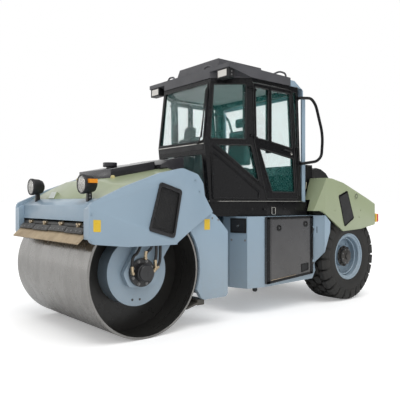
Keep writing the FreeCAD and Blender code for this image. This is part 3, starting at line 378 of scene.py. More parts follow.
def head_tree():
    """A six-sided head on its own washer, on each place and facing outward: bolts, nuts and rivets."""
    tree, given, hand_out = geometry_tree("bolt_heads", "Heads", Places="Geometry", Width="Float", Height="Float",
                                          Facing="Vector", Finish="Material")
    width, height = given["Width"], given["Height"]
    washer = wired(tree, "GeometryNodeMeshCylinder", Vertices=16, Radius=scaled(tree, width, 0.72),
                   Depth=scaled(tree, height, 0.3))
    head = wired(tree, "GeometryNodeMeshCylinder", Vertices=6, Radius=scaled(tree, width, 0.5), Depth=height)
    lift = wired(tree, "ShaderNodeCombineXYZ", Z=scaled(tree, height, 0.45))
    raised = wired(tree, "GeometryNodeTransform", Geometry=head.outputs["Mesh"], Translation=lift.outputs[0])
    both = wired(tree, "GeometryNodeJoinGeometry", washer.outputs["Mesh"])
    feed(tree, both, raised.outputs["Geometry"])
    turn = wired(tree, "FunctionNodeAlignRotationToVector", Vector=given["Facing"], settings={"axis": "Z"})
    return hand_out(given["Places"], both.outputs[0], turn.outputs["Rotation"])


bolt_heads = head_tree()


def grown(name, seed, tree, settings, material, body):
    """A piece grown by a node tree from a seed mesh, kept as a plain mesh on a body."""
    source = placed(f"{name}_source", seed)
    modifier = source.modifiers.new("grow", "NODES")
    modifier.node_group = tree
    sockets = {item.name: item.identifier for item in tree.interface.items_tree if item.in_out == "INPUT"}
    for key, value in {**settings, "Finish": material}.items():
        modifier[sockets[key]] = value
    mesh = settled(source)
    mesh.name = name
    bpy.data.objects.remove(source)
    if not mesh.materials:
        mesh.materials.append(material)
    return placed(name, mesh, body)


def spread_out(name, places, tree, settings, material, body):
    """Copies of what a tree makes, on a list of places."""
    seed = bpy.data.meshes.new(f"{name}_places")
    seed.from_pydata([tuple(place) for place in places], [], [])
    return grown(name, seed, tree, settings, material, body)


def bolts(name, places, facing, width, height, material, body):
    return spread_out(name, places, bolt_heads, {"Width": width, "Height": height, "Facing": facing}, material, body)


def flank_bolts(title, spots, origin, width, height, material, body):
    """The same bolts on both sides, at (x, z) spots about an origin."""
    x, reach, z = origin
    for side, name in SIDES:
        bolts(title.format(name), flank(spots, (x, side * reach, z)), (0, side, 0), width, height, material,
              body.format(name))


bolt_steel = paint("bolt_steel", (0.20, 0.20, 0.20), roughness=0.45, edge=0.001)
nose_x = drum_high.x
drum_top = drum_high.z
plate_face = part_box("side_plate_left")[1].y
lower_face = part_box("lower_plate_left")[1].y
flank_bolts("side_plate_bolts_{}", ((nose_x - drum_x - 0.022, -0.06), (nose_x - drum_x - 0.022, -0.31), (-0.60, 0.30),
                                 (-0.66, 0.18)), (drum_x, plate_face, drum_top), 0.022, 0.010, blue_paint, FRONT)
flank_bolts("lower_plate_bolts_{}", ((-0.885, 1.235), (-0.975, 1.215)), (drum_x, lower_face, 0), 0.017, 0.006,
            bolt_steel, FRONT)

# ---------------------------------------------------------------- blank marker plates
# Small pressed plates, left blank: yellow ones on the frames and one pale one on the
# front hood. Each is held by its adhesive back.

yellow_film = paint("yellow_film", (0.72, 0.48, 0.03), roughness=0.3, edge=0.0)
pale_film = paint("pale_film", (0.72, 0.76, 0.72), roughness=0.25, edge=0.0)
film, film_gap, film_edge = 0.0015, 0.0002, 0.0006
flank_plates("nose_plate_{}", ((-0.115, -0.115), (-0.035, -0.110), (-0.035, -0.225), (-0.115, -0.230)),
             (nose_x, plate_face + film_gap, drum_top), film, yellow_film, FRONT, film_edge, corner=0.008)
flank_plates("frame_plate_{}", ((-0.765, -0.135), (-0.848, -0.135), (-0.848, -0.255), (-0.765, -0.255)),
             (drum_x, lower_face + film_gap, drum_top), film, yellow_film, FRONT, film_edge, corner=0.008)

# ---------------------------------------------------------------- side vents
# A black moulded frame in each side plate holds a grille of thin crossed steel slats,
# so the fan can breathe while stones stay out.


def plastic(name, colour, roughness=0.5, grain=260, relief=0.25, edge=0.003):
    """Moulded plastic: near even colour with a fine pebbled grain."""
    shade = Shader(name)
    tone = shade.ramp(shade.noise(3, detail=5), (0.35, toned(colour, 0.9)), (0.65, toned(colour, 1.12)))
    wear = shade.ramp(shade.noise(7, detail=6), (0.4, roughness * 0.9), (0.65, min(1.0, roughness * 1.15)))
    return shade.finish(Base_Color=tone, Roughness=wear,
                        Normal=shade.bump(shade.noise(grain, detail=2), relief, 0.001, edge))


black_plastic = plastic("black_plastic", (0.010, 0.010, 0.011))
black_paint = paint("black_paint", (0.007, 0.007, 0.008), roughness=0.32, gloss=0.22)
vent_rim = plastic("vent_rim", (0.016, 0.016, 0.018), roughness=0.30, grain=120, relief=0.1, edge=0.006)
vent_mesh = plastic("vent_mesh", (0.022, 0.022, 0.023), roughness=0.6, grain=45, relief=0.9)


def slat_tree():
    """A flat slat on each place, turned to lie along its row."""
    tree, given, hand_out = geometry_tree("slat_rows", "Slats", Places="Geometry", Size="Vector", Turn="Vector",
                                          Finish="Material")
    slat = wired(tree, "GeometryNodeMeshCube", given["Size"])
    return hand_out(given["Places"], slat.outputs["Mesh"], given["Turn"])


slat_rows = slat_tree()


def grille(name, corners, pitch, depth, bar, material, body):
    """Crossed slats inside a slanted four-sided frame, from the corner at the upper front round by the rear."""
    upper_front, upper_rear, lower_rear, lower_front = corners
    for kind, start, stop, first, last in (("rows", upper_front, upper_rear, lower_front, lower_rear),
                                           ("columns", upper_front, lower_front, upper_rear, lower_rear)):
        along = (stop - start + last - first) / 2
        across = ((first - start) + (last - stop)) / 2
        count = int(across.length / pitch)
        places = [(start + stop) / 2 + across * ((index + 0.5) / count) for index in range(count)]
        settings = {"Size": (along.length, depth, bar), "Turn": (0, -math.atan2(along.z, along.x), 0)}
        spread_out(f"{name}_{kind}", places, slat_rows, settings, material, body)


def vent_frames(title, corners, origin, width, depth, material, body, corner, reach=0.0):
    """A rounded ring round the vent on each side, standing proud of the metal."""
    for side, name in SIDES:
        square = flank(corners, (origin[0], side * origin[1], origin[2]))
        centre = sum(square, Vector()) / 4
        outer = rounded_outline([point + (point - centre).normalized() * reach for point in square], corner)
        inner = rounded_outline([point + (centre - point).normalized() * width for point in square], corner * 0.6)
        count = len(outer)
        lift = Vector((0, side * depth, 0))
        faces = []
        for i in range(count):
            j = (i + 1) % count
            faces += [(i, j, count + j, count + i), (2 * count + i, 3 * count + i, 3 * count + j, 2 * count + j),
                      (i, 2 * count + i, 2 * count + j, j), (count + i, count + j, 3 * count + j, 3 * count + i)]
        mesh_piece(title.format(name), outer + inner + [point + lift for point in outer + inner], faces, material,
                   body.format(name), bevel=depth * 0.35)


vent_corners = ((-0.131, 0.253), (-0.400, 0.173), (-0.306, -0.313), (0.006, -0.223))
dress(vent_mesh, "side_vents")
vent_frames("side_vent_frame_{}", vent_corners, (drum_x, plate_face - 0.004, drum_top), 0.030, 0.020, vent_rim, FRONT,
            corner=0.040, reach=0.020)
for side, name in SIDES:
    grille(f"side_vent_{name}", flank(vent_corners, (drum_x, side * (plate_face - 0.0105), drum_top)), 0.020, 0.002,
           0.005, vent_mesh, FRONT)

# ---------------------------------------------------------------- front hood
# A pressed sheet hood in pale grey-green over the tanks, with a black moulded lid and
# breather on its crown, round locks and lugs, and a blank card on its front.

green_paint = paint("green_paint", (0.335, 0.385, 0.240), dust=0.3, coat=0.15)
lid_plastic = plastic("lid_plastic", (0.026, 0.025, 0.030), roughness=0.24, grain=300, relief=0.04, edge=0.008)
rounded("front_hood", green_paint, 0.012)
rounded("hood_lid", lid_plastic, 0.008)
rounded("hood_fairing", lid_plastic, 0.008)


def lathe(name, outline, centre, axis, material, body, segments=96, smooth=35):
    """A closed outline of (radius, distance) points turned about an axis through a centre."""
    outward, upward = {"X": ((0, 1, 0), (0, 0, 1)), "Y": ((0, 0, 1), (1, 0, 0)), "Z": ((1, 0, 0), (0, 1, 0))}[axis]
    outward, upward = Vector(outward), Vector(upward)
    along = outward.cross(upward)
    verts = []
    rings = []
    for radius, distance in outline:
        middle = Vector(centre) + along * distance
        if radius < 1e-7:
            rings.append([len(verts)] * segments)
            verts.append(middle)
            continue
        rings.append(list(range(len(verts), len(verts) + segments)))
        for step in range(segments):
            angle = 2 * math.pi * step / segments
            verts.append(middle + (outward * math.cos(angle) + upward * math.sin(angle)) * radius)
    faces = []
    for index, ring in enumerate(rings):
        following = rings[(index + 1) % len(rings)]
        for step in range(segments):
            ahead = (step + 1) % segments
            corner = list(dict.fromkeys((ring[step], ring[ahead], following[ahead], following[step])))
            if len(corner) > 2:
                faces.append(corner)
    return mesh_piece(name, verts, faces, material, body, smooth=smooth)


def turned_pair(title, outline, origin, axis, material, body, segments, smooth=35):
    """The same turned piece on both sides; along Y its distances count outward."""
    pieces = []
    for side, name in SIDES:
        turned = [(radius, distance * (side if axis == "Y" else 1)) for radius, distance in outline]
        pieces.append(lathe(title.format(name), turned, (origin[0], side * origin[1], origin[2]), axis, material,
                            body.format(name), segments, smooth))
    return pieces


def run_curve(name, points, radius, kind, sides):
    """A round section led along points."""
    curve = bpy.data.curves.new(name, "CURVE")
    curve.dimensions = "3D"
    curve.bevel_depth = radius
    curve.bevel_resolution = sides
    spline = curve.splines.new(kind)
    spline.points.add(len(points) - 1)
    for spot, point in zip(spline.points, points):
        spot.co = (*point, 1)
    return curve, spline


def bar(name, points, radius, material, body, closed=False, sides=3):
    """A round bar or bead along straight runs between points."""
    curve, spline = run_curve(name, points, radius, "POLY", sides)
    curve.use_fill_caps = not closed
    spline.use_cyclic_u = closed
    source = placed(f"{name}_source", curve)
    mesh = settled(source)
    bpy.data.objects.remove(source)
    coated(mesh, material)
    mesh.shade_smooth()
    return placed(name, mesh, body)


turned_pair("hood_lock_{}", [(0, 0.001), (0.022, 0.001), (0.022, 0.012), (0.014, 0.016), (0.014, 0.008), (0, 0.008)],
            (drum_x + 0.36, 0.70, drum_top + 0.150), "Z", black_plastic, FRONT, 32)
lug_metal = paint("lug_metal", (0.52, 0.46, 0.20), roughness=0.4, variation=0.2)
lid_low, lid_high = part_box("hood_lid")
for place, spot in (("front", (lid_high.x - 0.005, 0.415, lid_low.z + 0.010)),
                    ("rear", (lid_low.x + 0.02, 0.440, 1.770)), ("nose", (2.100, 0.300, 1.520))):
    turned_pair(f"hood_lug_{place}_{{}}", [(0, -0.03), (0.026, -0.03), (0.026, 0.0), (0.016, 0.016), (0, 0.018)], spot,
                "Z", lug_metal, FRONT, 20)
card = [(2.232, -0.265, 1.462), (2.232, -0.415, 1.462), (2.196, -0.405, 1.536), (2.196, -0.270, 1.536)]
outline_plate("hood_card_bracket", card, (-0.040, 0, -0.020), green_paint, FRONT)
outline_plate("hood_card", card, (0.0014, 0, 0.0008), pale_film, FRONT, bevel=0.0004)

# ---------------------------------------------------------------- head lamps
# Two round lamps in black moulded shells on short stalks, each with a pressed
# reflector, a ribbed glass and an amber turn lamp clipped to its outer side.


def lamp_glass(name, colour, alpha, ribs=0.0):
    """Moulded lens plastic, ribbed or plain, under a clear hard coat."""
    shade = Shader(name)
    ribbing = shade.noise(8, detail=0, stretch=(1, 22, 1)) if ribs else shade.noise(40, detail=1)
    return shade.finish(Base_Color=shade.ramp(shade.noise(2, detail=3), (0.4, toned(colour, 0.94)), (0.6, colour)),
                        Roughness=0.06, Alpha=alpha, Coat_Weight=0.4, Coat_Roughness=0.05,
                        Normal=shade.bump(ribbing, ribs or 0.03, 0.003))


def bright_metal(name, colour, roughness):
    """Plated or polished metal, a little uneven in tone and gloss."""
    shade = Shader(name)
    tone = shade.ramp(shade.noise(5, detail=4), (0.35, toned(colour, 0.92)), (0.65, colour))
    wear = shade.ramp(shade.noise(20, detail=5), (0.4, roughness * 0.8), (0.65, roughness * 1.4))
    return shade.finish(Base_Color=tone, Metallic=1.0, Roughness=wear,
                        Normal=shade.bump(shade.noise(60, detail=2), 0.05, 0.001))


reflector_metal = bright_metal("reflector_metal", (0.50, 0.49, 0.46), roughness=0.14)
clear_lens = lamp_glass("clear_lens", (0.88, 0.88, 0.86), 0.20, ribs=0.3)
amber_lens = lamp_glass("amber_lens", (0.90, 0.33, 0.03), 1.0)
red_lens = lamp_glass("red_lens", (0.55, 0.03, 0.02), 1.0)
yellow_lens = lamp_glass("yellow_lens", (0.85, 0.55, 0.05), 1.0)
lens_low, lens_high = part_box("headlamp_lenses")
lamp_z = (lens_low.z + lens_high.z) / 2
lamp_y = 0.660
lamp_spot = (lens_low.x, lamp_y, lamp_z)
dress(black_plastic, "headlamps")
shells = turned_pair("headlamp_shell_{}", [(0.0, -0.150), (0.045, -0.148), (0.075, -0.128), (0.092, -0.085),
                                           (0.096, -0.020), (0.1, -0.018), (0.1, 0.006), (0.096, 0.012),
                                           (0.086, 0.012), (0.084, 0.002), (0.060, -0.045), (0.0, -0.070)],
                     lamp_spot, "X", black_plastic, FRONT, 64)
turned_pair("headlamp_reflector_{}", [(0.0835, 0.0025), (0.062, -0.030), (0.035, -0.055), (0.0, -0.064),
                                      (0.0, -0.062), (0.035, -0.053), (0.062, -0.027), (0.0825, 0.0045)],
            lamp_spot, "X", reflector_metal, FRONT, 64)
turned_pair("headlamp_bulb_{}", [(0, -0.062), (0.008, -0.062), (0.012, -0.035), (0.008, -0.020), (0, -0.016)],
            lamp_spot, "X", clear_lens, FRONT, 24)
glasses = turned_pair("headlamp_glass_{}", [(0.0, 0.0115), (0.05, 0.0095), (0.084, 0.0045), (0.084, 0.0075),
                                            (0.05, 0.0115), (0.0, 0.0119)], lamp_spot, "X", clear_lens, FRONT, 64)
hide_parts("headlamp_lenses")
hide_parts("headlamps")
stalk_x = lens_low.x - 0.078
stalk_half = 0.022
foot_z = drum_top + 0.075
flank_plates("headlamp_stalk_{}", ((-0.026, foot_z - 0.02), (0.03, foot_z - 0.045), (0.022, lamp_z - 0.085),
                                   (-0.022, lamp_z - 0.085)), (stalk_x, lamp_y - stalk_half, 0), 2 * stalk_half,
             black_plastic, FRONT, 0.006)
flank_bolts("headlamp_bolts_{}", ((0.003, 0.03), (0.003, 0.06)), (stalk_x, lamp_y + stalk_half, foot_z), 0.014, 0.007,
            bolt_steel, FRONT)
dress(amber_lens, "turn_lamps")

# ---------------------------------------------------------------- front scraper
# A round cross tube carries slanted steel clamp bars on bronze arms; their bolts clamp
# a tan rubber blade that wipes the drum. The rear scraper is a plain flat bar and blade.

scraper_black = paint("scraper_black", (0.035, 0.034, 0.032), roughness=0.55, variation=0.25, dust=0.4)
dress(scraper_black, "rear_scraper")


def worn_rubber(name, colour, mark, roughness=0.75):
    """Rubber with a dry bloom, scuffed patches and a fine grain."""
    shade = Shader(name)
    tone = shade.ramp(shade.noise(5, detail=7, roughness=0.65), (0.38, colour), (0.68, mark))
    wear = shade.ramp(shade.noise(11, detail=6), (0.4, roughness * 0.85), (0.7, min(1, roughness * 1.15)))
    return shade.finish(Base_Color=tone, Roughness=wear,
                        Normal=shade.bump(shade.noise(180, detail=3), 0.3, 0.001, 0.003))


dress(worn_rubber("tan_rubber", (0.47, 0.37, 0.24), (0.33, 0.25, 0.16)), "scraper_blade")
brass = bright_metal("brass", (0.62, 0.50, 0.34), roughness=0.3)
bronze_paint = paint("bronze_paint", (0.30, 0.23, 0.14), roughness=0.5, variation=0.3)
tube_low, tube_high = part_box("front_scraper")
tube_radius = 0.034
tube_x, tube_z = tube_low.x + tube_radius, 1.175
tube_outline = [(0, -tube_high.y), (tube_radius, -tube_high.y), (tube_radius, tube_high.y), (0, tube_high.y)]
scraper_tube = lathe("scraper_tube", tube_outline, (tube_x, 0, tube_z), "Y", scraper_black, FRONT, segments=48)
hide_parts("front_scraper")
down = Vector((0.621, 0, -0.784))
out_of_blade = Vector((0.784, 0, 0.621))
blade_top = Vector((2.3835, 0, 1.1705))
arm_half = 0.016
for number, y_low, y_high in ((1, -0.820, -0.428), (2, -0.412, -0.008), (3, 0.008, 0.412), (4, 0.428, 0.820)):
    first = blade_top + down * (-0.004 if number % 2 else 0.004)
    last = first + down * 0.070
    corners = [first + Vector((0, y_low, 0)), first + Vector((0, y_high, 0)), last + Vector((0, y_high, 0)),
               last + Vector((0, y_low, 0))]
    outline_plate(f"scraper_bar_{number}", corners, -out_of_blade * 0.020, scraper_black, FRONT)
    spots = [first + down * 0.045 + Vector((0, y_low + (y_high - y_low) * part, 0))
             for part in (0.12, 0.36, 0.64, 0.88)]
    bolts(f"scraper_bolts_{number}", spots, out_of_blade, 0.014, 0.006, bolt_steel, FRONT)
    middle = (y_low + y_high) / 2
    arm = ((tube_x + 0.005, tube_z + 0.036), (tube_x + 0.045, tube_z + 0.030),
           (blade_top.x + 0.010, blade_top.z - 0.026), (blade_top.x - 0.028, blade_top.z - 0.050))
    outline_plate(f"scraper_arm_{number}", flank(arm, (0, middle - arm_half, 0)), (0, 2 * arm_half, 0), bronze_paint,
                  FRONT, bevel=0.004)
    for side, tag in ((-1, "a"), (1, "b")):
        lathe(f"scraper_nut_{number}{tag}", [(0, -0.012), (0.014, -0.012), (0.014, 0.012), (0, 0.012)],
              (tube_x + 0.036, middle + side * 0.034, tube_z + 0.020), "Y", brass, FRONT, segments=6)

# ---------------------------------------------------------------- drum
# The drum is rolled from thick plate, ground smooth outside and left with mill scale
# inside. Running on gravel polishes it and draws fine streaks round it.


def rolled_steel():
    """Ground steel with streaks drawn round the axle and darker smears."""
    shade = Shader("rolled_steel")
    streaks = shade.noise(9, detail=9, roughness=0.75, stretch=(0.12, 60, 0.12))
    smears = shade.noise(3.2, detail=7, roughness=0.65, stretch=(1, 2.5, 1))
    tone = shade.ramp(streaks, (0.30, (0.22, 0.215, 0.205)), (0.5, (0.285, 0.278, 0.267)),
                      (0.70, (0.355, 0.346, 0.333)))
    tone = shade.mix(shade.ramp(smears, (0.42, 0.0), (0.72, 0.50)), tone, (0.200, 0.193, 0.183))
    return shade.finish(Base_Color=tone, Metallic=1.0, Roughness=shade.ramp(smears, (0.3, 0.20), (0.7, 0.34)),
                        Normal=shade.bump(streaks, 0.06, 0.001))


def mill_scale():
    """The dark skin that rolling leaves on steel."""
    shade = Shader("mill_scale")
    rings = shade.noise(5, detail=8, roughness=0.7, stretch=(0.4, 6, 0.4))
    tone = shade.ramp(rings, (0.35, (0.022, 0.0215, 0.020)), (0.6, (0.030, 0.029, 0.027)),
                      (0.78, (0.048, 0.045, 0.040)))
    return shade.finish(Base_Color=tone, Metallic=0.2, Roughness=shade.ramp(rings, (0.35, 0.26), (0.7, 0.36)),
                        Normal=shade.bump(shade.noise(30, detail=6), 0.12, 0.003))


drum_inside = mill_scale()
dress(drum_inside, "drum_webs")
axle_z = (drum_low.z + drum_high.z) / 2
radius = (drum_high.z - drum_low.z) / 2
bore = radius - 0.025
edge = drum_high.y
drum = lathe("drum_skin", [(bore, edge - 0.001), (bore + 0.001, edge), (radius - 0.005, edge), (radius, edge - 0.005),
                           (radius, 0.005 - edge), (radius - 0.005, -edge), (bore + 0.001, -edge),
                           (bore, 0.001 - edge), (bore, -0.4), (bore, 0.4)],
             (drum_x, 0, axle_z), "Y", rolled_steel(), "drum", segments=256)
drum.data.materials.append(drum_inside)
for face in drum.data.polygons:
    from_axle = Vector((face.center.x - drum_x, face.center.z - axle_z)).length
    face.material_index = 1 if from_axle < bore + 0.0004 else 0
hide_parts("drum_shell")

# ---------------------------------------------------------------- drum discs, arms and motors
# A thick blue disc on each side, a welded arm with its motor bolted on, and black
# hoses that come down to brass elbows on the motor's flange.


def circle(radius, degrees):
    """(x, z) spots round an axle, at angles from the top."""
    return [(radius * math.sin(angle), radius * math.cos(angle)) for angle in map(math.radians, degrees)]


disc_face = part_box("drum_discs")[1].y
arm_outer = 0.800
motor_iron = paint("motor_iron", (0.022, 0.022, 0.024), roughness=0.42, variation=0.15, edge=0.003, coat=0.2)
dress(motor_iron, "drum_motors")
flank_bolts("motor_bolts_{}", circle(0.125, [22.5 + 45 * k for k in range(8)]), (drum_x, arm_outer + 0.0350, axle_z),
            0.024, 0.012, bolt_steel, FRONT)
flank_bolts("disc_bolts_{}", circle(0.300, (168, 186)), (drum_x, disc_face, axle_z), 0.018, 0.006, scraper_black,
            "drum")
turned_pair("motor_cap_{}", [(0, 0), (0.084, 0), (0.086, 0.003), (0.086, 0.030), (0.080, 0.037), (0.020, 0.038),
                             (0.018, 0.035), (0, 0.035)], (drum_x, arm_outer + 0.088, axle_z), "Y", motor_iron,
            FRONT, 64)
hose_rubber = worn_rubber("hose_rubber", (0.014, 0.014, 0.015), (0.030, 0.029, 0.028), roughness=0.5)


def hose(name, route, radius, material, body):
    """A hose along its route's control points, in one smooth curve."""
    curve, spline = run_curve(name, route, radius, "NURBS", 4)
    curve.resolution_u = 16
    spline.order_u = 3
    spline.use_endpoint_u = True
    curve.materials.append(material)
    return placed(name, curve, body)


routes = {"front": ((0.030, 0.300), (0.060, 0.215), (0.135, 0.175), (0.138, 0.085), (0.132, 0.000)),
          "inner": ((-0.105, 0.300), (-0.100, 0.240), (-0.030, 0.215), (-0.022, 0.150)),
          "middle": ((-0.160, 0.300), (-0.165, 0.200), (-0.150, 0.130), (-0.150, 0.050)),
          "rear": ((-0.215, 0.300), (-0.215, 0.200), (-0.205, 0.060), (-0.128, 0.010))}
for side, name in SIDES:
    for place, route in routes.items():
        points = flank(route, (drum_x, side * (arm_outer + 0.05), axle_z))
        hose(f"drum_hose_{place}_{name}", points, 0.0155, hose_rubber, FRONT)
        run = (points[-1] - points[-2]).normalized()
        bar(f"hose_ferrule_{place}_{name}", [points[-1] - run * 0.075, points[-1] - run * 0.002], 0.0185, brass,
            FRONT, sides=6)
        elbow = ((0, -0.016), (0.016, -0.016), (0.0185, -0.008), (0.0185, 0.012), (0.014, 0.019), (0, 0.019))
        lathe(f"hose_elbow_{place}_{name}", [(radius, distance * side) for radius, distance in elbow], points[-1], "Y",
              brass, FRONT, segments=24)
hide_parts("drum_hoses")

# ---------------------------------------------------------------- articulation
# The frames are hinged on a blue steel yoke with upright pins, and two cylinders with
# hard chromed rods push it round. The engine block sits behind it in dull grey iron.

dress(black_paint, "steer_barrel_left", "steer_barrel_right")
dress(bright_metal("hard_chrome", (0.75, 0.75, 0.76), roughness=0.12), "steer_rod_left", "steer_rod_right")
dress(paint("engine_grey", (0.09, 0.09, 0.09), roughness=0.6, dust=0.3), "engine")

# ---------------------------------------------------------------- rear frame
# Bent and welded plate in the frame's blue, cut away for the service bays. A black box
# for the battery switch is let into its front corner; a step lug hangs from its foot.

REAR = "rear_frame"
rounded("platform", black_paint, 0.006)
pivot_x = 0.285
floor_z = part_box("cab_shell")[0].z
frame_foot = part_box("rear_frame_box")[0].z
facet_start = Vector((pivot_x - 0.050, 0.550))
facet_run = Vector((-0.070, 0.250))
facet_out = Vector((facet_run.y, -facet_run.x)).normalized()


def on_facet(side, spots, lift=0.0):
    """Points on the frame's cut front corner, from (share of its width, z) spots."""
    places = [facet_start + facet_run * part + facet_out * lift for part, z in spots]
    return [Vector((place.x, side * place.y, z)) for place, (part, z) in zip(places, spots)]


def rectangle(x_first, x_last, z_first, z_last):
    return ((x_first, z_first), (x_first, z_last), (x_last, z_last), (x_last, z_first))


switch_box = plastic("switch_box", (0.018, 0.019, 0.021), roughness=0.35)
for side, name in SIDES:
    out = Vector((facet_out.x, side * facet_out.y, 0))
    frame_outline = rounded_outline(on_facet(side, rectangle(0.06, 0.96, 1.215, 1.030)), 0.012)
    outline_plate(f"switch_frame_{name}", frame_outline, out * 0.010, black_plastic, REAR)
    cover_outline = rounded_outline(on_facet(side, rectangle(0.18, 0.86, 1.190, 1.055), 0.0102), 0.008)
    outline_plate(f"switch_cover_{name}", cover_outline, out * 0.004, switch_box, REAR, bevel=0.0015)
    lathe(f"switch_knob_{name}", [(0, -0.01), (0.018, -0.01), (0.018, 0.006), (0.012, 0.010), (0, 0.010)],
          on_facet(side, [(0.52, 1.12)], 0.014)[0], "X", reflector_metal, REAR, segments=24)
    bolts(f"corner_bolts_{name}", on_facet(side, ((0.12, 0.94), (0.88, 0.94))), out, 0.020, 0.010, bolt_steel, REAR)
turned_pair("step_lug_{}", [(0, 0.03), (0.028, 0.03), (0.032, -0.030), (0.020, -0.045), (0, -0.045)],
            (0.03, 0.80, frame_foot), "Z", black_plastic, REAR, 24)

# ---------------------------------------------------------------- service doors
# Black pressed steel doors close the bays: a flat panel inside a turned frame, two round
# quarter-turn locks at the top, a hand recess, and hinges at the rear edge.

door_front, door_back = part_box("service_door_left")[1].x, -0.995
door_face = 0.9055
service_body = "service_door_{}"
door_paint = paint("door_paint", (0.050, 0.050, 0.053), roughness=0.26, variation=0.30, edge=0.003, dust=0.2,
                   coat=0.2)
scuffed_edge = paint("scuffed_edge", (0.30, 0.24, 0.17), roughness=0.6, variation=0.4, edge=0.0)
dress(door_paint, "service_door_left", "service_door_right")
rim = [Vector(spot) for spot in ((door_front, 0.380), (door_front, 1.230), (door_back, 1.230), (door_back, 0.443))]
for index, (first, last) in enumerate(zip(rim, rim[1:] + rim[:1])):
    run = (last - first).normalized()
    inward = sum(rim, Vector((0, 0))) / 4 - (first + last) / 2
    across = (inward - run * inward.dot(run)).normalized() * (0.030 if index % 2 else 0.060)
    first, last = first + run * 0.004, last - run * 0.004
    flank_plates(f"service_rail_{{}}_{index + 1}", (first, last, last + across, first + across), (0, door_face, 0),
                 0.005, black_paint, service_body, 0.002)
panel = ((door_front - 0.078, 0.430), (door_front - 0.078, 1.192), (door_back + 0.085, 1.192),
         (door_back + 0.085, 0.485))
flank_plates("service_panel_{}", panel, (0, door_face, 0), 0.004, door_paint, service_body, 0.002, corner=0.012)
for number, x, z in ((1, door_front - 0.225, 1.085), (2, door_back + 0.165, 1.125)):
    turned_pair(f"service_lock_{{}}_{number}", [(0, 0), (0.040, 0), (0.040, 0.008), (0.031, 0.011), (0.029, 0.003),
                                               (0, 0.003)], (x, door_face + 0.004, z), "Y", black_plastic,
                service_body, 40)
    flank_plates(f"service_lock_key_{{}}_{number}", rectangle(-0.014, 0.014, -0.003, 0.003),
                 (x, door_face + 0.006, z), 0.005, bolt_steel, service_body, 0.0008)
recess = [(door_back + x, z) for x, z in ((0.255, 0.588), (0.105, 0.598), (0.105, 0.500), (0.255, 0.478))]
vent_frames("service_recess_{}", recess, (0, door_face + 0.003, 0), 0.010, 0.008, black_paint, service_body,
            corner=0.010)
flank_plates("service_recess_floor_{}", recess, (0, door_face + 0.0042, 0), 0.0006, black_plastic, service_body,
             0.0002)
flank_plates("service_scuff_{}", ((-0.08, 0.420), (-0.56, 0.452), (-0.56, 0.457), (-0.08, 0.428)),
             (door_front, door_face + 0.0002, 0), 0.0052, scuffed_edge, service_body, 0.0003)
flank_bolts("service_screws_{}", [(-0.028, z) for z in (0.45, 0.68, 0.92, 1.16)], (door_front, door_face + 0.005, 0),
            0.013, 0.005, black_plastic, service_body)
hinge_spot = (0, door_face + 0.001, 0)
for title, outline, spot, depth, body, ease in (
        ("hinge_cover_{}", rectangle(-1.095, -1.038, 1.085, 0.995), (0, 0.921, 0), 0.022, REAR, 0.004),
        ("hinge_block_{}", rectangle(-0.983, -0.962, 1.085, 0.995), hinge_spot, 0.018, service_body, 0.004),
        ("hinge_strip_{}", rectangle(-0.985, -0.965, 0.93, 0.66), hinge_spot, 0.014, service_body, 0.003)):
    flank_plates(title, outline, spot, depth, black_plastic, body, ease)

# ---------------------------------------------------------------- cab
# A welded cab of charcoal painted section with cut front corners. Every pane sits in a
# black rubber seal, and the doors hang at the front posts.

cab_low, cab_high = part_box("cab_shell")
cab_nose = cab_high.x
waist_z = floor_z + 0.730
eaves_z = cab_high.z
cab_half, nose_half = 0.83, 0.50
cab_paint = paint("cab_paint", (0.007, 0.007, 0.008), roughness=0.28, variation=0.06, edge=0.006, gloss=0.26)
roof_plastic = plastic("roof_plastic", (0.080, 0.080, 0.088), roughness=0.45, grain=120, relief=0.12, edge=0.008)
seal_rubber = worn_rubber("seal_rubber", (0.010, 0.010, 0.011), (0.022, 0.022, 0.022), roughness=0.6)
dress(cab_paint, "cab_shell", "door_left", "door_right")
dress(roof_plastic, "cab_roof")


def tinted(name, colour):
    """Float glass: a body tint, a thin uneven film, and a mirror-smooth face."""
    shade = Shader(name)
    tone = shade.ramp(shade.noise(1.2, detail=1), (0.3, toned(colour, 0.92)), (0.7, colour))
    return shade.finish(Base_Color=tone, Roughness=0.03, Alpha=0.11, Transmission_Weight=0.6, IOR=1.45)


dress(tinted("screen_glass", (0.20, 0.66, 0.62)), "windscreen", "lower_windscreen", "rear_glass")
dress(tinted("side_glass", (0.10, 0.64, 0.58)), "corner_glass", "quarter_glass", "door_glass_left",
      "door_glass_right")


def leaning(z, foot, waist, eaves):
    """Where a post stands at a height, behind the cab's nose, from its place at three levels."""
    if z < waist_z:
        part = (z - floor_z) / (waist_z - floor_z)
        return cab_nose + foot * (1 - part) + waist * part
    part = (z - waist_z) / (eaves_z - waist_z)
    return cab_nose + waist * (1 - part) + eaves * part


def nose_at(z):
    return leaning(z, -0.080, 0.0, -0.100)


def post_at(z):
    return leaning(z, -0.760, -0.525, -0.490)


def on_front(*spots, lift=0.002):
    """Points on the cab's front, from (y, z) spots."""
    return [Vector((nose_at(z) + lift, y, z)) for y, z in spots]


def on_corner(side, *spots, lift=0.002):
    """Points on a cut front corner, from (distance ahead of the nose, z) spots."""
    points = []
    for ahead, z in spots:
        x = cab_nose + ahead
        part = (nose_at(z) - x) / (nose_at(z) - post_at(z))
        y = nose_half + (cab_half - nose_half) * part + lift * 0.8
        points.append(Vector((x + lift * 0.5, side * y, z)))
    return points


def on_side(side, *spots, lift=0.002):
    """Points on the cab's side, from (distance ahead of the nose, z) spots."""
    return [Vector((cab_nose + ahead, side * (cab_half + lift), z)) for ahead, z in spots]


def seal(name, corners, body=REAR, radius=0.008, corner=0.03, material=seal_rubber):
    """A bead of round section that follows an outline's rounded corners."""
    bar(name, rounded_outline(corners, corner), radius, material, body, closed=True)


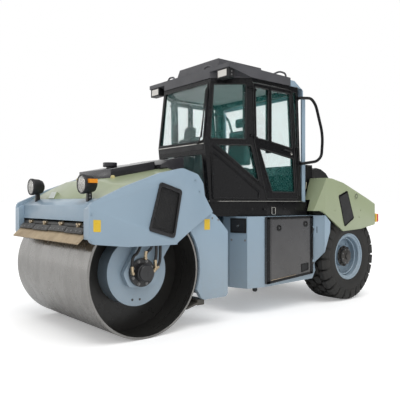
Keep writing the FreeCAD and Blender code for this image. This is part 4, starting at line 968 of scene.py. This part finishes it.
seal("windscreen_seal", on_front((-0.47, waist_z + 0.03), (0.47, waist_z + 0.03), (0.455, eaves_z - 0.055),
                                 (-0.455, eaves_z - 0.055)), radius=0.010)
seal("lower_screen_seal", on_front((-0.43, floor_z + 0.06), (0.43, floor_z + 0.06), (0.43, waist_z - 0.13),
                                   (-0.43, waist_z - 0.13)))
seal("rear_screen_seal", [(cab_low.x, -0.69, floor_z + 0.38), (cab_low.x, 0.69, floor_z + 0.38),
                          (cab_low.x + 0.072, 0.69, eaves_z - 0.09), (cab_low.x + 0.072, -0.69, eaves_z - 0.09)])
for side, name in SIDES:
    body = f"cab_door_{name}"
    seal(f"corner_seal_{name}", on_corner(side, (-0.122, eaves_z - 0.075), (-0.061, waist_z + 0.055),
                                          (-0.440, waist_z + 0.055), (-0.436, eaves_z - 0.075)))
    seal(f"lower_corner_seal_{name}", on_corner(side, (-0.130, waist_z - 0.02), (-0.500, waist_z - 0.02),
                                                (-0.645, floor_z + 0.25)), corner=0.02)
    quarter = on_side(side, (-1.262, eaves_z - 0.075), (-1.330, waist_z), (-1.388, floor_z + 0.09),
                      (-1.405, floor_z + 0.09), (-1.372, waist_z), (-1.335, eaves_z - 0.075))
    seal(f"quarter_seal_{name}", quarter, radius=0.006, corner=0.008)
    seal(f"door_seal_front_{name}", on_side(side, (-0.548, eaves_z - 0.105), (-0.565, waist_z + 0.075),
                                            (-0.790, waist_z + 0.055), (-0.790, eaves_z - 0.105)), body, corner=0.02)
    seal(f"door_seal_rear_{name}", on_side(side, (-0.840, eaves_z - 0.105), (-0.840, waist_z + 0.047),
                                           (-1.255, waist_z - 0.015), (-1.205, eaves_z - 0.105)), body, corner=0.02)
    seal(f"door_seal_low_{name}", on_side(side, (-0.620, waist_z - 0.045), (-0.860, floor_z + 0.13),
                                          (-1.310, floor_z + 0.13), (-1.272, waist_z - 0.145)), body, corner=0.02)
    door_edge = on_side(side, (-0.509, eaves_z - 0.059), (-0.539, waist_z + 0.02), (-0.761, floor_z + 0.041),
                        (-1.364, floor_z + 0.041), (-1.294, waist_z), (-1.229, eaves_z - 0.059), lift=0.001)
    seal(f"door_edge_seal_{name}", door_edge, body, radius=0.006, corner=0.015)
    grip = ((-1.20, -0.060, 0.0), (-1.20, -0.060, 0.03), (-1.08, -0.045, 0.034), (-1.08, -0.045, 0.0))
    bar(f"door_grip_{name}", [on_side(side, (ahead, waist_z + drop), lift=lift)[0] for ahead, drop, lift in grip],
        0.009, black_plastic, body)
    edge_z, edge_y = floor_z + 0.010, side * (cab_half + 0.006)
    strip = [(nose_at(floor_z) + 0.006, side * 0.49, edge_z), (post_at(floor_z) + 0.010, edge_y, edge_z),
             (cab_low.x - 0.02, edge_y, edge_z)]
    bar(f"foot_strip_{name}", strip, 0.005, reflector_metal, REAR)
    ring = flank(((0.033, 0.045), (-0.033, 0.045), (-0.033, -0.045), (0.033, -0.045)),
                 (cab_nose - 0.880, side * (cab_half + 0.008), floor_z - 0.115))
    seal(f"strap_ring_{name}", ring, radius=0.006, corner=0.012, material=reflector_metal)
    rail = on_corner(side, (-0.075, waist_z - 0.09), (-0.655, floor_z + 0.125), (-0.655, floor_z + 0.045),
                     (-0.115, floor_z + 0.045), lift=0.004)
    seal(f"lower_corner_rail_{name}", rail, radius=0.013, corner=0.02, material=cab_paint)
    bar(f"lower_pane_rail_{name}", on_corner(side, (-0.085, waist_z - 0.030), (-0.700, floor_z + 0.185), lift=0.004),
        0.012, cab_paint, REAR)
turned_pair("door_lock_{}", [(0, 0), (0.020, 0), (0.018, 0.010), (0.012, 0.014), (0, 0.014)],
            (cab_nose - 1.235, cab_half, waist_z - 0.085), "Y", reflector_metal, "cab_door_{}", 32)
flank_bolts("platform_bolts_{}", [(ahead, -0.09) for ahead in (-0.50, -0.72, -1.10, -1.32)],
            (cab_nose, cab_half + 0.0005, floor_z), 0.022, 0.010, black_plastic, REAR)
bar("screen_sill", on_front((-0.49, waist_z - 0.002), (0.49, waist_z - 0.002), lift=0.004), 0.007,
    reflector_metal, REAR)
band = on_front((-0.46, waist_z - 0.012), (0.46, waist_z - 0.012), (0.46, waist_z - 0.075), (-0.46, waist_z - 0.075),
                lift=0.0005)
outline_plate("screen_band", band, (0.003, 0, 0), black_plastic, REAR, bevel=0.001)
wiper = ((0.458, 0.70, 0.018), (0.462, 0.42, 0.030), (0.446, 0.10, 0.030), (0.400, 0.010, 0.020))
bar("wiper_arm", [on_front((y, waist_z + rise), lift=lift)[0] for y, rise, lift in wiper], 0.008, black_plastic,
    REAR)
bar("wiper_blade", on_front((0.440, waist_z + 0.08), lift=0.014) + on_front((0.442, waist_z + 0.68), lift=0.016),
    0.009, seal_rubber, REAR)
lathe("wiper_pivot", [(0, -0.01), (0.02, -0.01), (0.02, 0.012), (0.012, 0.018), (0, 0.018)],
      on_front((0.380, waist_z + 0.012), lift=0.008)[0], "X", black_plastic, REAR, segments=24)

# ---------------------------------------------------------------- roof
# A moulded roof panel with a raised middle and a seam along each side, and square
# work lamps under its front wings.

roof_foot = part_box("cab_roof")[0].z
lamp_low, lamp_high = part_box("work_lamps")
dress(black_plastic, "work_lamps")
warm_lens = lamp_glass("warm_lens", (0.80, 0.77, 0.72), 1.0, ribs=0.35)
for side, name in SIDES:
    face = [(lamp_high.x, side * y, z) for y, z in rectangle(0.634, 0.800, lamp_low.z + 0.012, lamp_high.z - 0.012)]
    outline_plate(f"work_lens_{name}", rounded_outline(face, 0.010), (0.004, 0, 0), warm_lens, REAR, bevel=0.002)
    seal(f"work_lamp_rim_{name}", face, radius=0.006, corner=0.010, material=black_plastic)
    seam = flank(((-0.092, 0.124), (-1.198, 0.102)), (cab_nose, side * (cab_half + 0.016), roof_foot))
    bar(f"roof_seam_{name}", seam, 0.006, roof_plastic, REAR)
flank_bolts("work_lamp_bolts_{}", ((-0.05, 0.03), (-0.05, 0.07)), (lamp_high.x, 0.829, lamp_low.z), 0.014, 0.006,
            bolt_steel, REAR)

# ---------------------------------------------------------------- roll-over frame and rails
# A folded blue steel head over two plated posts behind the cab, with bent tube rails
# for climbing; the rails are painted black and bolted on.

dress(black_paint, "radiator_housing", "grab_rails")
post_low, post_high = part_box("roll_bar_posts")
posts = flank_plates("roll_post_{}", rectangle(post_low.x, post_high.x, post_low.z, post_high.z),
                     (0, post_high.y - 0.028, 0), 0.028, blue_paint, REAR, 0.004)
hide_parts("roll_bar_posts")
for tag, behind, z in (("high", 1.350, eaves_z - 0.150), ("low", 1.405, waist_z - 0.210)):
    turned_pair(f"rail_foot_{tag}_{{}}", [(0.0205, 0.0), (0.036, 0.0), (0.036, 0.008), (0.0205, 0.012)],
                (cab_nose - behind, cab_half + 0.0002, z), "Y", black_paint, REAR, 32)
bolts("head_bolts", [(cab_nose - 1.30, 0.8202, eaves_z - 0.01), (cab_nose - 1.36, 0.8202, eaves_z)], (0, 1, 0), 0.022,
      0.010, bolt_steel, REAR)
cream_film = paint("cream_film", (0.66, 0.62, 0.44), roughness=0.35, edge=0.0)
shield_low, shield_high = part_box("radiator_housing")
card = flank(((0.200, 1.60), (0.140, 1.60), (0.120, 1.70), (0.180, 1.70)), (shield_low.x, 0.7202, 0), 0.006)
outline_plate("shield_plate", card, (0, film, 0), cream_film, REAR, bevel=0.0005)
seal("shield_frame", [(x, 0.724, z) for x, z in ((shield_high.x - 0.045, 1.26), (shield_high.x - 0.128, 1.925),
                                                 (shield_low.x + 0.015, 1.925), (shield_low.x + 0.015, 1.72))],
     radius=0.006, corner=0.02, material=black_plastic)

# ---------------------------------------------------------------- seat and console
# A sprung seat with foam pads under woven fabric, and a column with a moulded wheel.
# The pads are swollen against their covers, then smoothed.


def woven(name, colour):
    """Upholstery cloth: fine threads of two tones."""
    shade = Shader(name)
    threads = shade.noise(420, detail=2, stretch=(1, 1, 0.4))
    return shade.finish(Base_Color=shade.ramp(threads, (0.35, toned(colour, 0.6)), (0.65, colour)), Roughness=0.92,
                        Sheen_Weight=0.3, Normal=shade.bump(threads, 0.5, 0.0015))


seat_cloth = woven("seat_cloth", (0.045, 0.047, 0.052))
lining = plastic("roof_lining", (0.44, 0.45, 0.45), roughness=0.7, grain=180)
lining_edge = ((-0.170, 0.42), (-0.540, 0.76), (-1.300, 0.76), (-1.300, -0.76), (-0.540, -0.76), (-0.170, -0.42))
outline_plate("roof_lining", [(cab_nose + ahead, y, eaves_z - 0.025) for ahead, y in lining_edge], (0, 0, 0.012),
              lining, REAR)
seat_x = cab_nose - 1.050
cab_floor = floor_z + 0.050


def pad(name, low, high, lean=0.0, swell=0.014):
    """A foam pad: a box remeshed, swollen as cloth under pressure, capped and smoothed."""
    low, high = (Vector((seat_x + x, y, cab_floor + z)) for x, y, z in (low, high))
    centre = (low + high) / 2
    mesh = bpy.data.meshes.new(name)
    work = bmesh.new()
    bmesh.ops.create_cube(work, size=1.0)
    for vert in work.verts:
        vert.co = [share * (length - 2 * swell) for share, length in zip(vert.co, high - low)]
    bmesh.ops.bevel(work, geom=work.edges, offset=0.028, segments=4, affect="EDGES", profile=0.5)
    for vert in work.verts:
        vert.co = Vector((vert.co.x + lean * vert.co.z, vert.co.y, vert.co.z)) + centre
    work.to_mesh(mesh)
    work.free()
    piece = placed(name, mesh)
    remesh = piece.modifiers.new("remesh", "REMESH")
    remesh.mode = "VOXEL"
    remesh.voxel_size = 0.012
    fresh = settled(piece)
    piece.modifiers.clear()
    piece.data = fresh
    rest = [vert.co.copy() for vert in fresh.vertices]
    cloth = piece.modifiers.new("cloth", "CLOTH").settings
    cloth.use_pressure = True
    cloth.uniform_pressure_force = 4
    cloth.effector_weights.gravity = 0
    cloth.quality = 4
    for number in range(1, 19):
        scene.frame_set(number)
    swollen = settled(piece)
    piece.modifiers.clear()
    piece.data = swollen
    for vert, start in zip(swollen.vertices, rest):
        move = vert.co - start
        if move.length > swell:
            vert.co = start + move.normalized() * swell
    scene.frame_set(1)
    smooth = piece.modifiers.new("smooth", "SUBSURF")
    smooth.levels = smooth.render_levels = 1
    coated(piece.data, seat_cloth)
    piece.data.shade_smooth()
    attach(piece, "rear_frame")
    return piece


cushion = pad("seat_cushion", (-0.06, -0.25, 0.33), (0.43, 0.25, 0.44))
pad("seat_back", (-0.10, -0.23, 0.445), (0.04, 0.23, 1.005), lean=-0.12)
pad("seat_headrest", (-0.12, -0.14, 1.015), (-0.03, 0.14, 1.175))
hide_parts("seat")
folds = [(0.150 if step % 2 else 0.175, 0.03 + 0.036 * step) for step in range(9)]
lathe("seat_bellows", [(0, 0.03), *folds, (0, 0.32)], (seat_x + 0.10, 0, cab_floor), "Z", seal_rubber, REAR,
      segments=48)
base = [(seat_x + x, y, cab_floor) for x, y in ((-0.06, -0.18), (-0.06, 0.18), (0.26, 0.18), (0.26, -0.18))]
outline_plate("seat_base", rounded_outline(base, 0.03), (0, 0, 0.03), black_paint, REAR, bevel=0.005)
column_plastic = plastic("column_plastic", (0.035, 0.036, 0.040), roughness=0.55)
pod_plastic = plastic("pod_plastic", (0.014, 0.015, 0.017), roughness=0.5)
pod_x = cab_nose - 0.500
for name, x, y, width, material, ease, spots in (
        ("steering_column", cab_nose, -0.11, 0.22, column_plastic, 0.02,
         ((-0.420, 0), (-0.270, 0), (-0.330, 0.62), (-0.450, 0.62))),
        ("side_console", pod_x, -0.60, 0.26, column_plastic, 0.03,
         ((-0.20, 0), (0.10, 0), (0.06, 0.62), (-0.14, 0.66))),
        ("control_pod", pod_x, -0.54, 0.28, pod_plastic, 0.035,
         ((-0.050, 0.62), (0.150, 0.60), (0.130, 0.84), (-0.070, 0.89))),
        ("pod_display", pod_x, -0.49, 0.17, pod_plastic, 0.040,
         ((-0.040, 0.85), (0.090, 0.82), (0.065, 1.02), (-0.050, 1.02)))):
    outline_plate(name, flank(spots, (x, y, cab_floor)), (0, width, 0), material, REAR, bevel=ease)
bar("cab_handrail", [(pod_x, 0.31, cab_floor + 0.35), (pod_x, 0.30, cab_floor + 1.08),
                     (pod_x + 0.03, 0.20, cab_floor + 1.12)], 0.012, black_plastic, REAR)
bar("control_lever", [(pod_x, 0.30, cab_floor + 0.89), (pod_x + 0.05, 0.12, cab_floor + 0.89)], 0.010,
    black_plastic, REAR)
wheel_centre = Vector((cab_nose - 0.430, 0, cab_floor + 0.690))


def ring_outline(radius, thick, count):
    """A round section of a ring, as (radius, distance) points."""
    turns = [2 * math.pi * step / count for step in range(count)]
    return [(radius + thick * math.cos(turn), thick * math.sin(turn)) for turn in turns]


wheel_rim = lathe("steering_wheel", ring_outline(0.190, 0.0135, 12), wheel_centre, "Z", column_plastic, REAR,
                  segments=72, smooth=60)
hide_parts("steering_console")
for index in range(3):
    angle = math.radians(120 * index)
    spoke_end = wheel_centre + Vector((math.cos(angle), math.sin(angle), 0)) * 0.185
    bar(f"wheel_spoke_{index + 1}", [wheel_centre + Vector((0, 0, -0.008)), spoke_end], 0.010, column_plastic, REAR)
lathe("wheel_boss", [(0, -0.07), (0.045, -0.07), (0.045, 0.0), (0.035, 0.010), (0, 0.012)], wheel_centre, "Z",
      column_plastic, REAR, segments=40)

# ---------------------------------------------------------------- rear hood
# A pressed sheet hood over the engine in the green, hinged at the tail. Its sides are
# folded out over the wheels, with slanted vents, and a black intake stands on its top.

HOOD = "rear_hood"
rounded("rear_hood", green_paint, 0.012)
rounded("intake_cover", black_plastic, 0.012)
hood_low, hood_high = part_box("rear_hood")
wheel_low, wheel_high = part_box("tyre_left")
wheel_x = (wheel_low.x + wheel_high.x) / 2
wheel_z = (wheel_low.z + wheel_high.z) / 2
hood_side = hood_high.y
# Painted shade: a darker green for the recessed cups of the hood locks, where shade falls inside the ring.
painted_shade_green = paint("painted_shade_green", (0.17, 0.195, 0.125), dust=0.2)
rear_vent = [(wheel_x + x, z) for x, z in ((0.341, 1.505), (0.139, 1.578), (-0.020, 1.189), (0.199, 1.072))]
slat_count = 14
slat_tilt = 0.6 * math.atan2(0.073, 0.202)
dress(vent_mesh, "hood_vents")
vent_frames("hood_vent_frame_{}", rear_vent, (0, hood_side - 0.004, 0), 0.026, 0.012, vent_rim, HOOD, corner=0.026,
            reach=0.006)
for side, name in SIDES:
    upper_front, upper_rear, lower_rear, lower_front = flank(rear_vent, (0, side * (hood_side + 0.0030), 0))
    parts = [(index + 0.7) / slat_count for index in range(slat_count)]
    middles = [(lower_front.lerp(upper_front, part) + lower_rear.lerp(upper_rear, part)) / 2 for part in parts]
    settings = {"Size": (0.19, 0.003, 0.012), "Turn": (0.5 * side, slat_tilt, 0)}
    spread_out(f"hood_vent_slats_{name}", middles, slat_rows, settings, black_plastic, HOOD)
    fold = [(wheel_x + 0.703, 1.300), (wheel_x + 0.223, 1.012), (wheel_x - 0.223, 1.033), (hood_low.x + 0.19, 1.095)]
    bar(f"hood_fold_{name}", flank(fold, (0, side * (hood_side - 0.006), 0)), 0.0065, green_paint, HOOD)
lock = (wheel_x - 0.085, hood_side, 1.505)
for part, outline, material, segments in (
        ("ring", [(0.040, 0.0), (0.052, 0.0), (0.052, 0.003), (0.047, 0.005), (0.040, 0.002)], green_paint, 48),
        # The cup's darker green is painted shade inside the lock's raised ring.
        ("cup", [(0, 0.0), (0.0405, 0.0), (0.0405, 0.0012), (0, 0.0012)], painted_shade_green, 48),
        ("key", [(0, 0.001), (0.016, 0.001), (0.014, 0.006), (0, 0.006)], green_paint, 24)):
    turned_pair(f"hood_lock_{part}_{{}}", outline, lock, "Y", material, HOOD, segments)
flank_bolts("hood_bolts_{}", ((-0.20, 1.30), (-0.165, 1.20), (0.42, 1.30)), (wheel_x, hood_side + 0.0003, 0), 0.018,
            0.006, green_paint, HOOD)

# ---------------------------------------------------------------- tail lamps
# An amber and a red lens side by side, clipped over a lamp block on each rear corner.

tail_low, tail_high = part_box("tail_lamps")
dress(red_lens, "tail_lamps")
split = (tail_low.x + tail_high.x) / 2 + 0.008
for tag, x_front, x_rear, lens in (("turn", tail_high.x + 0.004, split + 0.001, yellow_lens),
                                   ("stop", split - 0.001, tail_low.x - 0.004, red_lens)):
    flank_plates(f"tail_lens_{tag}_{{}}", rectangle(x_front, x_rear, tail_low.z + 0.004, tail_high.z - 0.004),
                 (0, 0.990, 0), 0.042, lens, HOOD, 0.004, corner=0.005)

# ---------------------------------------------------------------- wheels
# Wide tyres with four rings of tread blocks on welded steel rims, painted in the frame's
# blue and bolted to black hubs. Rubber is scuffed grey and brown in patches.


def tyre_compound():
    """Carbon black rubber, scuffed grey and brown."""
    shade = Shader("tyre_compound")
    scuff = shade.noise(6, detail=8, roughness=0.7)
    tone = shade.ramp(scuff, (0.35, (0.014, 0.0135, 0.013)), (0.6, (0.024, 0.023, 0.021)),
                      (0.78, (0.050, 0.046, 0.040)))
    return shade.finish(Base_Color=tone, Roughness=shade.ramp(scuff, (0.4, 0.62), (0.7, 0.85)),
                        Normal=shade.bump(shade.noise(60, detail=5), 0.35, 0.002, 0.006))


tyre_rubber = tyre_compound()
hub_black = paint("hub_black", (0.018, 0.018, 0.019), roughness=0.4, variation=0.2, edge=0.002, dust=0.3)
outer_face, inner_face = wheel_high.y, wheel_low.y
half_width = (outer_face - inner_face) / 2
tyre_radius = (wheel_high.z - wheel_low.z) / 2 + 0.001
tread = tyre_radius - 0.038


def ring_tree():
    """Copies of a block turned about the wheel's axle."""
    tree, given, hand_out = geometry_tree("tread_ring", "Ring", Block="Geometry", Count="Int", Phase="Float",
                                          Axle="Vector", Finish="Material")
    points = wired(tree, "GeometryNodePoints", given["Count"])
    index = wired(tree, "GeometryNodeInputIndex").outputs[0]
    shifted = wired(tree, "ShaderNodeMath", index, given["Phase"]).outputs[0]
    part = wired(tree, "ShaderNodeMath", shifted, given["Count"], settings={"operation": "DIVIDE"}).outputs[0]
    about_y = wired(tree, "ShaderNodeCombineXYZ", Y=scaled(tree, part, 2 * math.pi)).outputs[0]
    return hand_out(points.outputs[0], given["Block"], about_y, offset=given["Axle"])


tread_ring = ring_tree()
block_count = 24
block_flare = 0.007
tread_top = tyre_radius - 0.003
tread_foot = tread - 0.012
middle_rows = [(0.011, 0.038, tread_top, tread_foot), (0.058, 0.062, tread_top, tread_foot),
               (0.106, 0.040, tread_top, tread_foot)]
shoulder_rows = [(0.122, 0.042, tread_top, tread_foot), (0.150, 0.061, tread_top, tread_foot),
                 (half_width - 0.036, 0.062, tread_top - 0.004, tread_foot - 0.02),
                 (half_width - 0.004, 0.058, tread_top - 0.052, tread_foot - 0.06),
                 (half_width - 0.001, 0.050, tread_top - 0.085, tread_foot - 0.10)]


def ring_of_blocks(name, rows, phase, side, body):
    """One block over the axle from rows of (width, half length, top radius, foot radius), turned into a ring."""
    verts, faces = [], []
    middle = (outer_face + inner_face) / 2
    for y, half, top, foot in rows:
        for spread, radius in ((-half - block_flare, foot), (-half, top), (half, top), (half + block_flare, foot)):
            angle = spread / tread
            verts.append((radius * math.sin(angle), (y + middle) * side, radius * math.cos(angle)))
    for row in range(len(rows) - 1):
        for k in range(4):
            a, b = row * 4 + k, row * 4 + (k + 1) % 4
            faces.append((a, b, b + 4, a + 4))
    last = 4 * (len(rows) - 1)
    faces += [(0, 1, 2, 3), (last + 3, last + 2, last + 1, last)]
    mesh = bpy.data.meshes.new(f"{name}_block")
    mesh.from_pydata(verts, [], faces)
    reworked(mesh, lambda work: bmesh.ops.recalc_face_normals(work, faces=work.faces),
             lambda work: bmesh.ops.bevel(work, geom=work.edges, offset=0.006, segments=2, profile=0.6,
                                          affect="EDGES"))
    grown(name, mesh, tread_ring, {"Count": block_count, "Phase": phase, "Axle": (wheel_x, 0.0, wheel_z)},
          tyre_rubber, body)


# A smooth carcass, from its inner bead over the tread to the outer bead.
carcass = [(0.305, inner_face + 0.05), (0.335, inner_face + 0.028), (0.365, inner_face + 0.010),
           (0.420, inner_face + 0.001), (0.480, inner_face + 0.002), (0.530, inner_face + 0.012),
           (tread - 0.030, inner_face + 0.030), (tread - 0.006, inner_face + 0.060), (tread, inner_face + half_width),
           (tread - 0.006, outer_face - 0.060), (tread - 0.030, outer_face - 0.030), (0.530, outer_face - 0.012),
           (0.480, outer_face - 0.003), (0.420, outer_face - 0.003), (0.372, outer_face - 0.008),
           (0.362, outer_face - 0.014), (0.350, outer_face - 0.014), (0.334, outer_face - 0.026),
           (0.334, outer_face - 0.044), (0.305, outer_face - 0.050)]
wheel_body = "wheel_{}"
skins = turned_pair("tyre_{}_carcass", carcass, (wheel_x, 0, wheel_z), "Y", tyre_rubber, wheel_body, 144, 50)
for piece, node in zip(skins, ("tyre_left", "tyre_right")):
    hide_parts(node)
for side, name in SIDES:
    for tag, rows, phase in (("middle", middle_rows, 0.0), ("shoulder", shoulder_rows, 0.5)):
        flipped = [(-y, half, top, foot) for y, half, top, foot in reversed(rows)]
        ring_of_blocks(f"tyre_{name}_{tag}_outer", rows, phase, side, wheel_body.format(name))
        ring_of_blocks(f"tyre_{name}_{tag}_inner", flipped, phase + 0.5, side, wheel_body.format(name))
hub_y = outer_face - 0.120
turned_pair("hub_{}", [(0.0, -0.02), (0.148, -0.02), (0.148, 0.004), (0.120, 0.012), (0.116, 0.050), (0.080, 0.062),
                       (0.050, 0.064), (0.046, 0.085), (0.0, 0.088)], (wheel_x, hub_y, wheel_z), "Y", hub_black,
            wheel_body, 72)
for title, radius, degrees, y, width, height, material in (
        ("wheel_nuts_{}", 0.1335, range(0, 360, 36), hub_y + 0.0085, 0.026, 0.022, hub_black),
        ("hub_bolts_{}", 0.098, range(20, 380, 45), hub_y + 0.056, 0.016, 0.010, bolt_steel),
        ("dish_bolts_{}", 0.225, range(0, 360, 45), outer_face - 0.196, 0.030, 0.026, blue_paint)):
    flank_bolts(title, circle(radius, degrees), (wheel_x, y, wheel_z), width, height, material, wheel_body)
for tag, radius, depth, thick in (("lip", 0.316, 0.036, 0.010), ("bead", 0.292, 0.060, 0.012),
                                  ("well", 0.262, 0.110, 0.010)):
    turned_pair(f"rim_{tag}_{{}}", ring_outline(radius, thick, 8), (wheel_x, outer_face - depth, wheel_z), "Y",
                blue_paint, wheel_body, 96, 60)
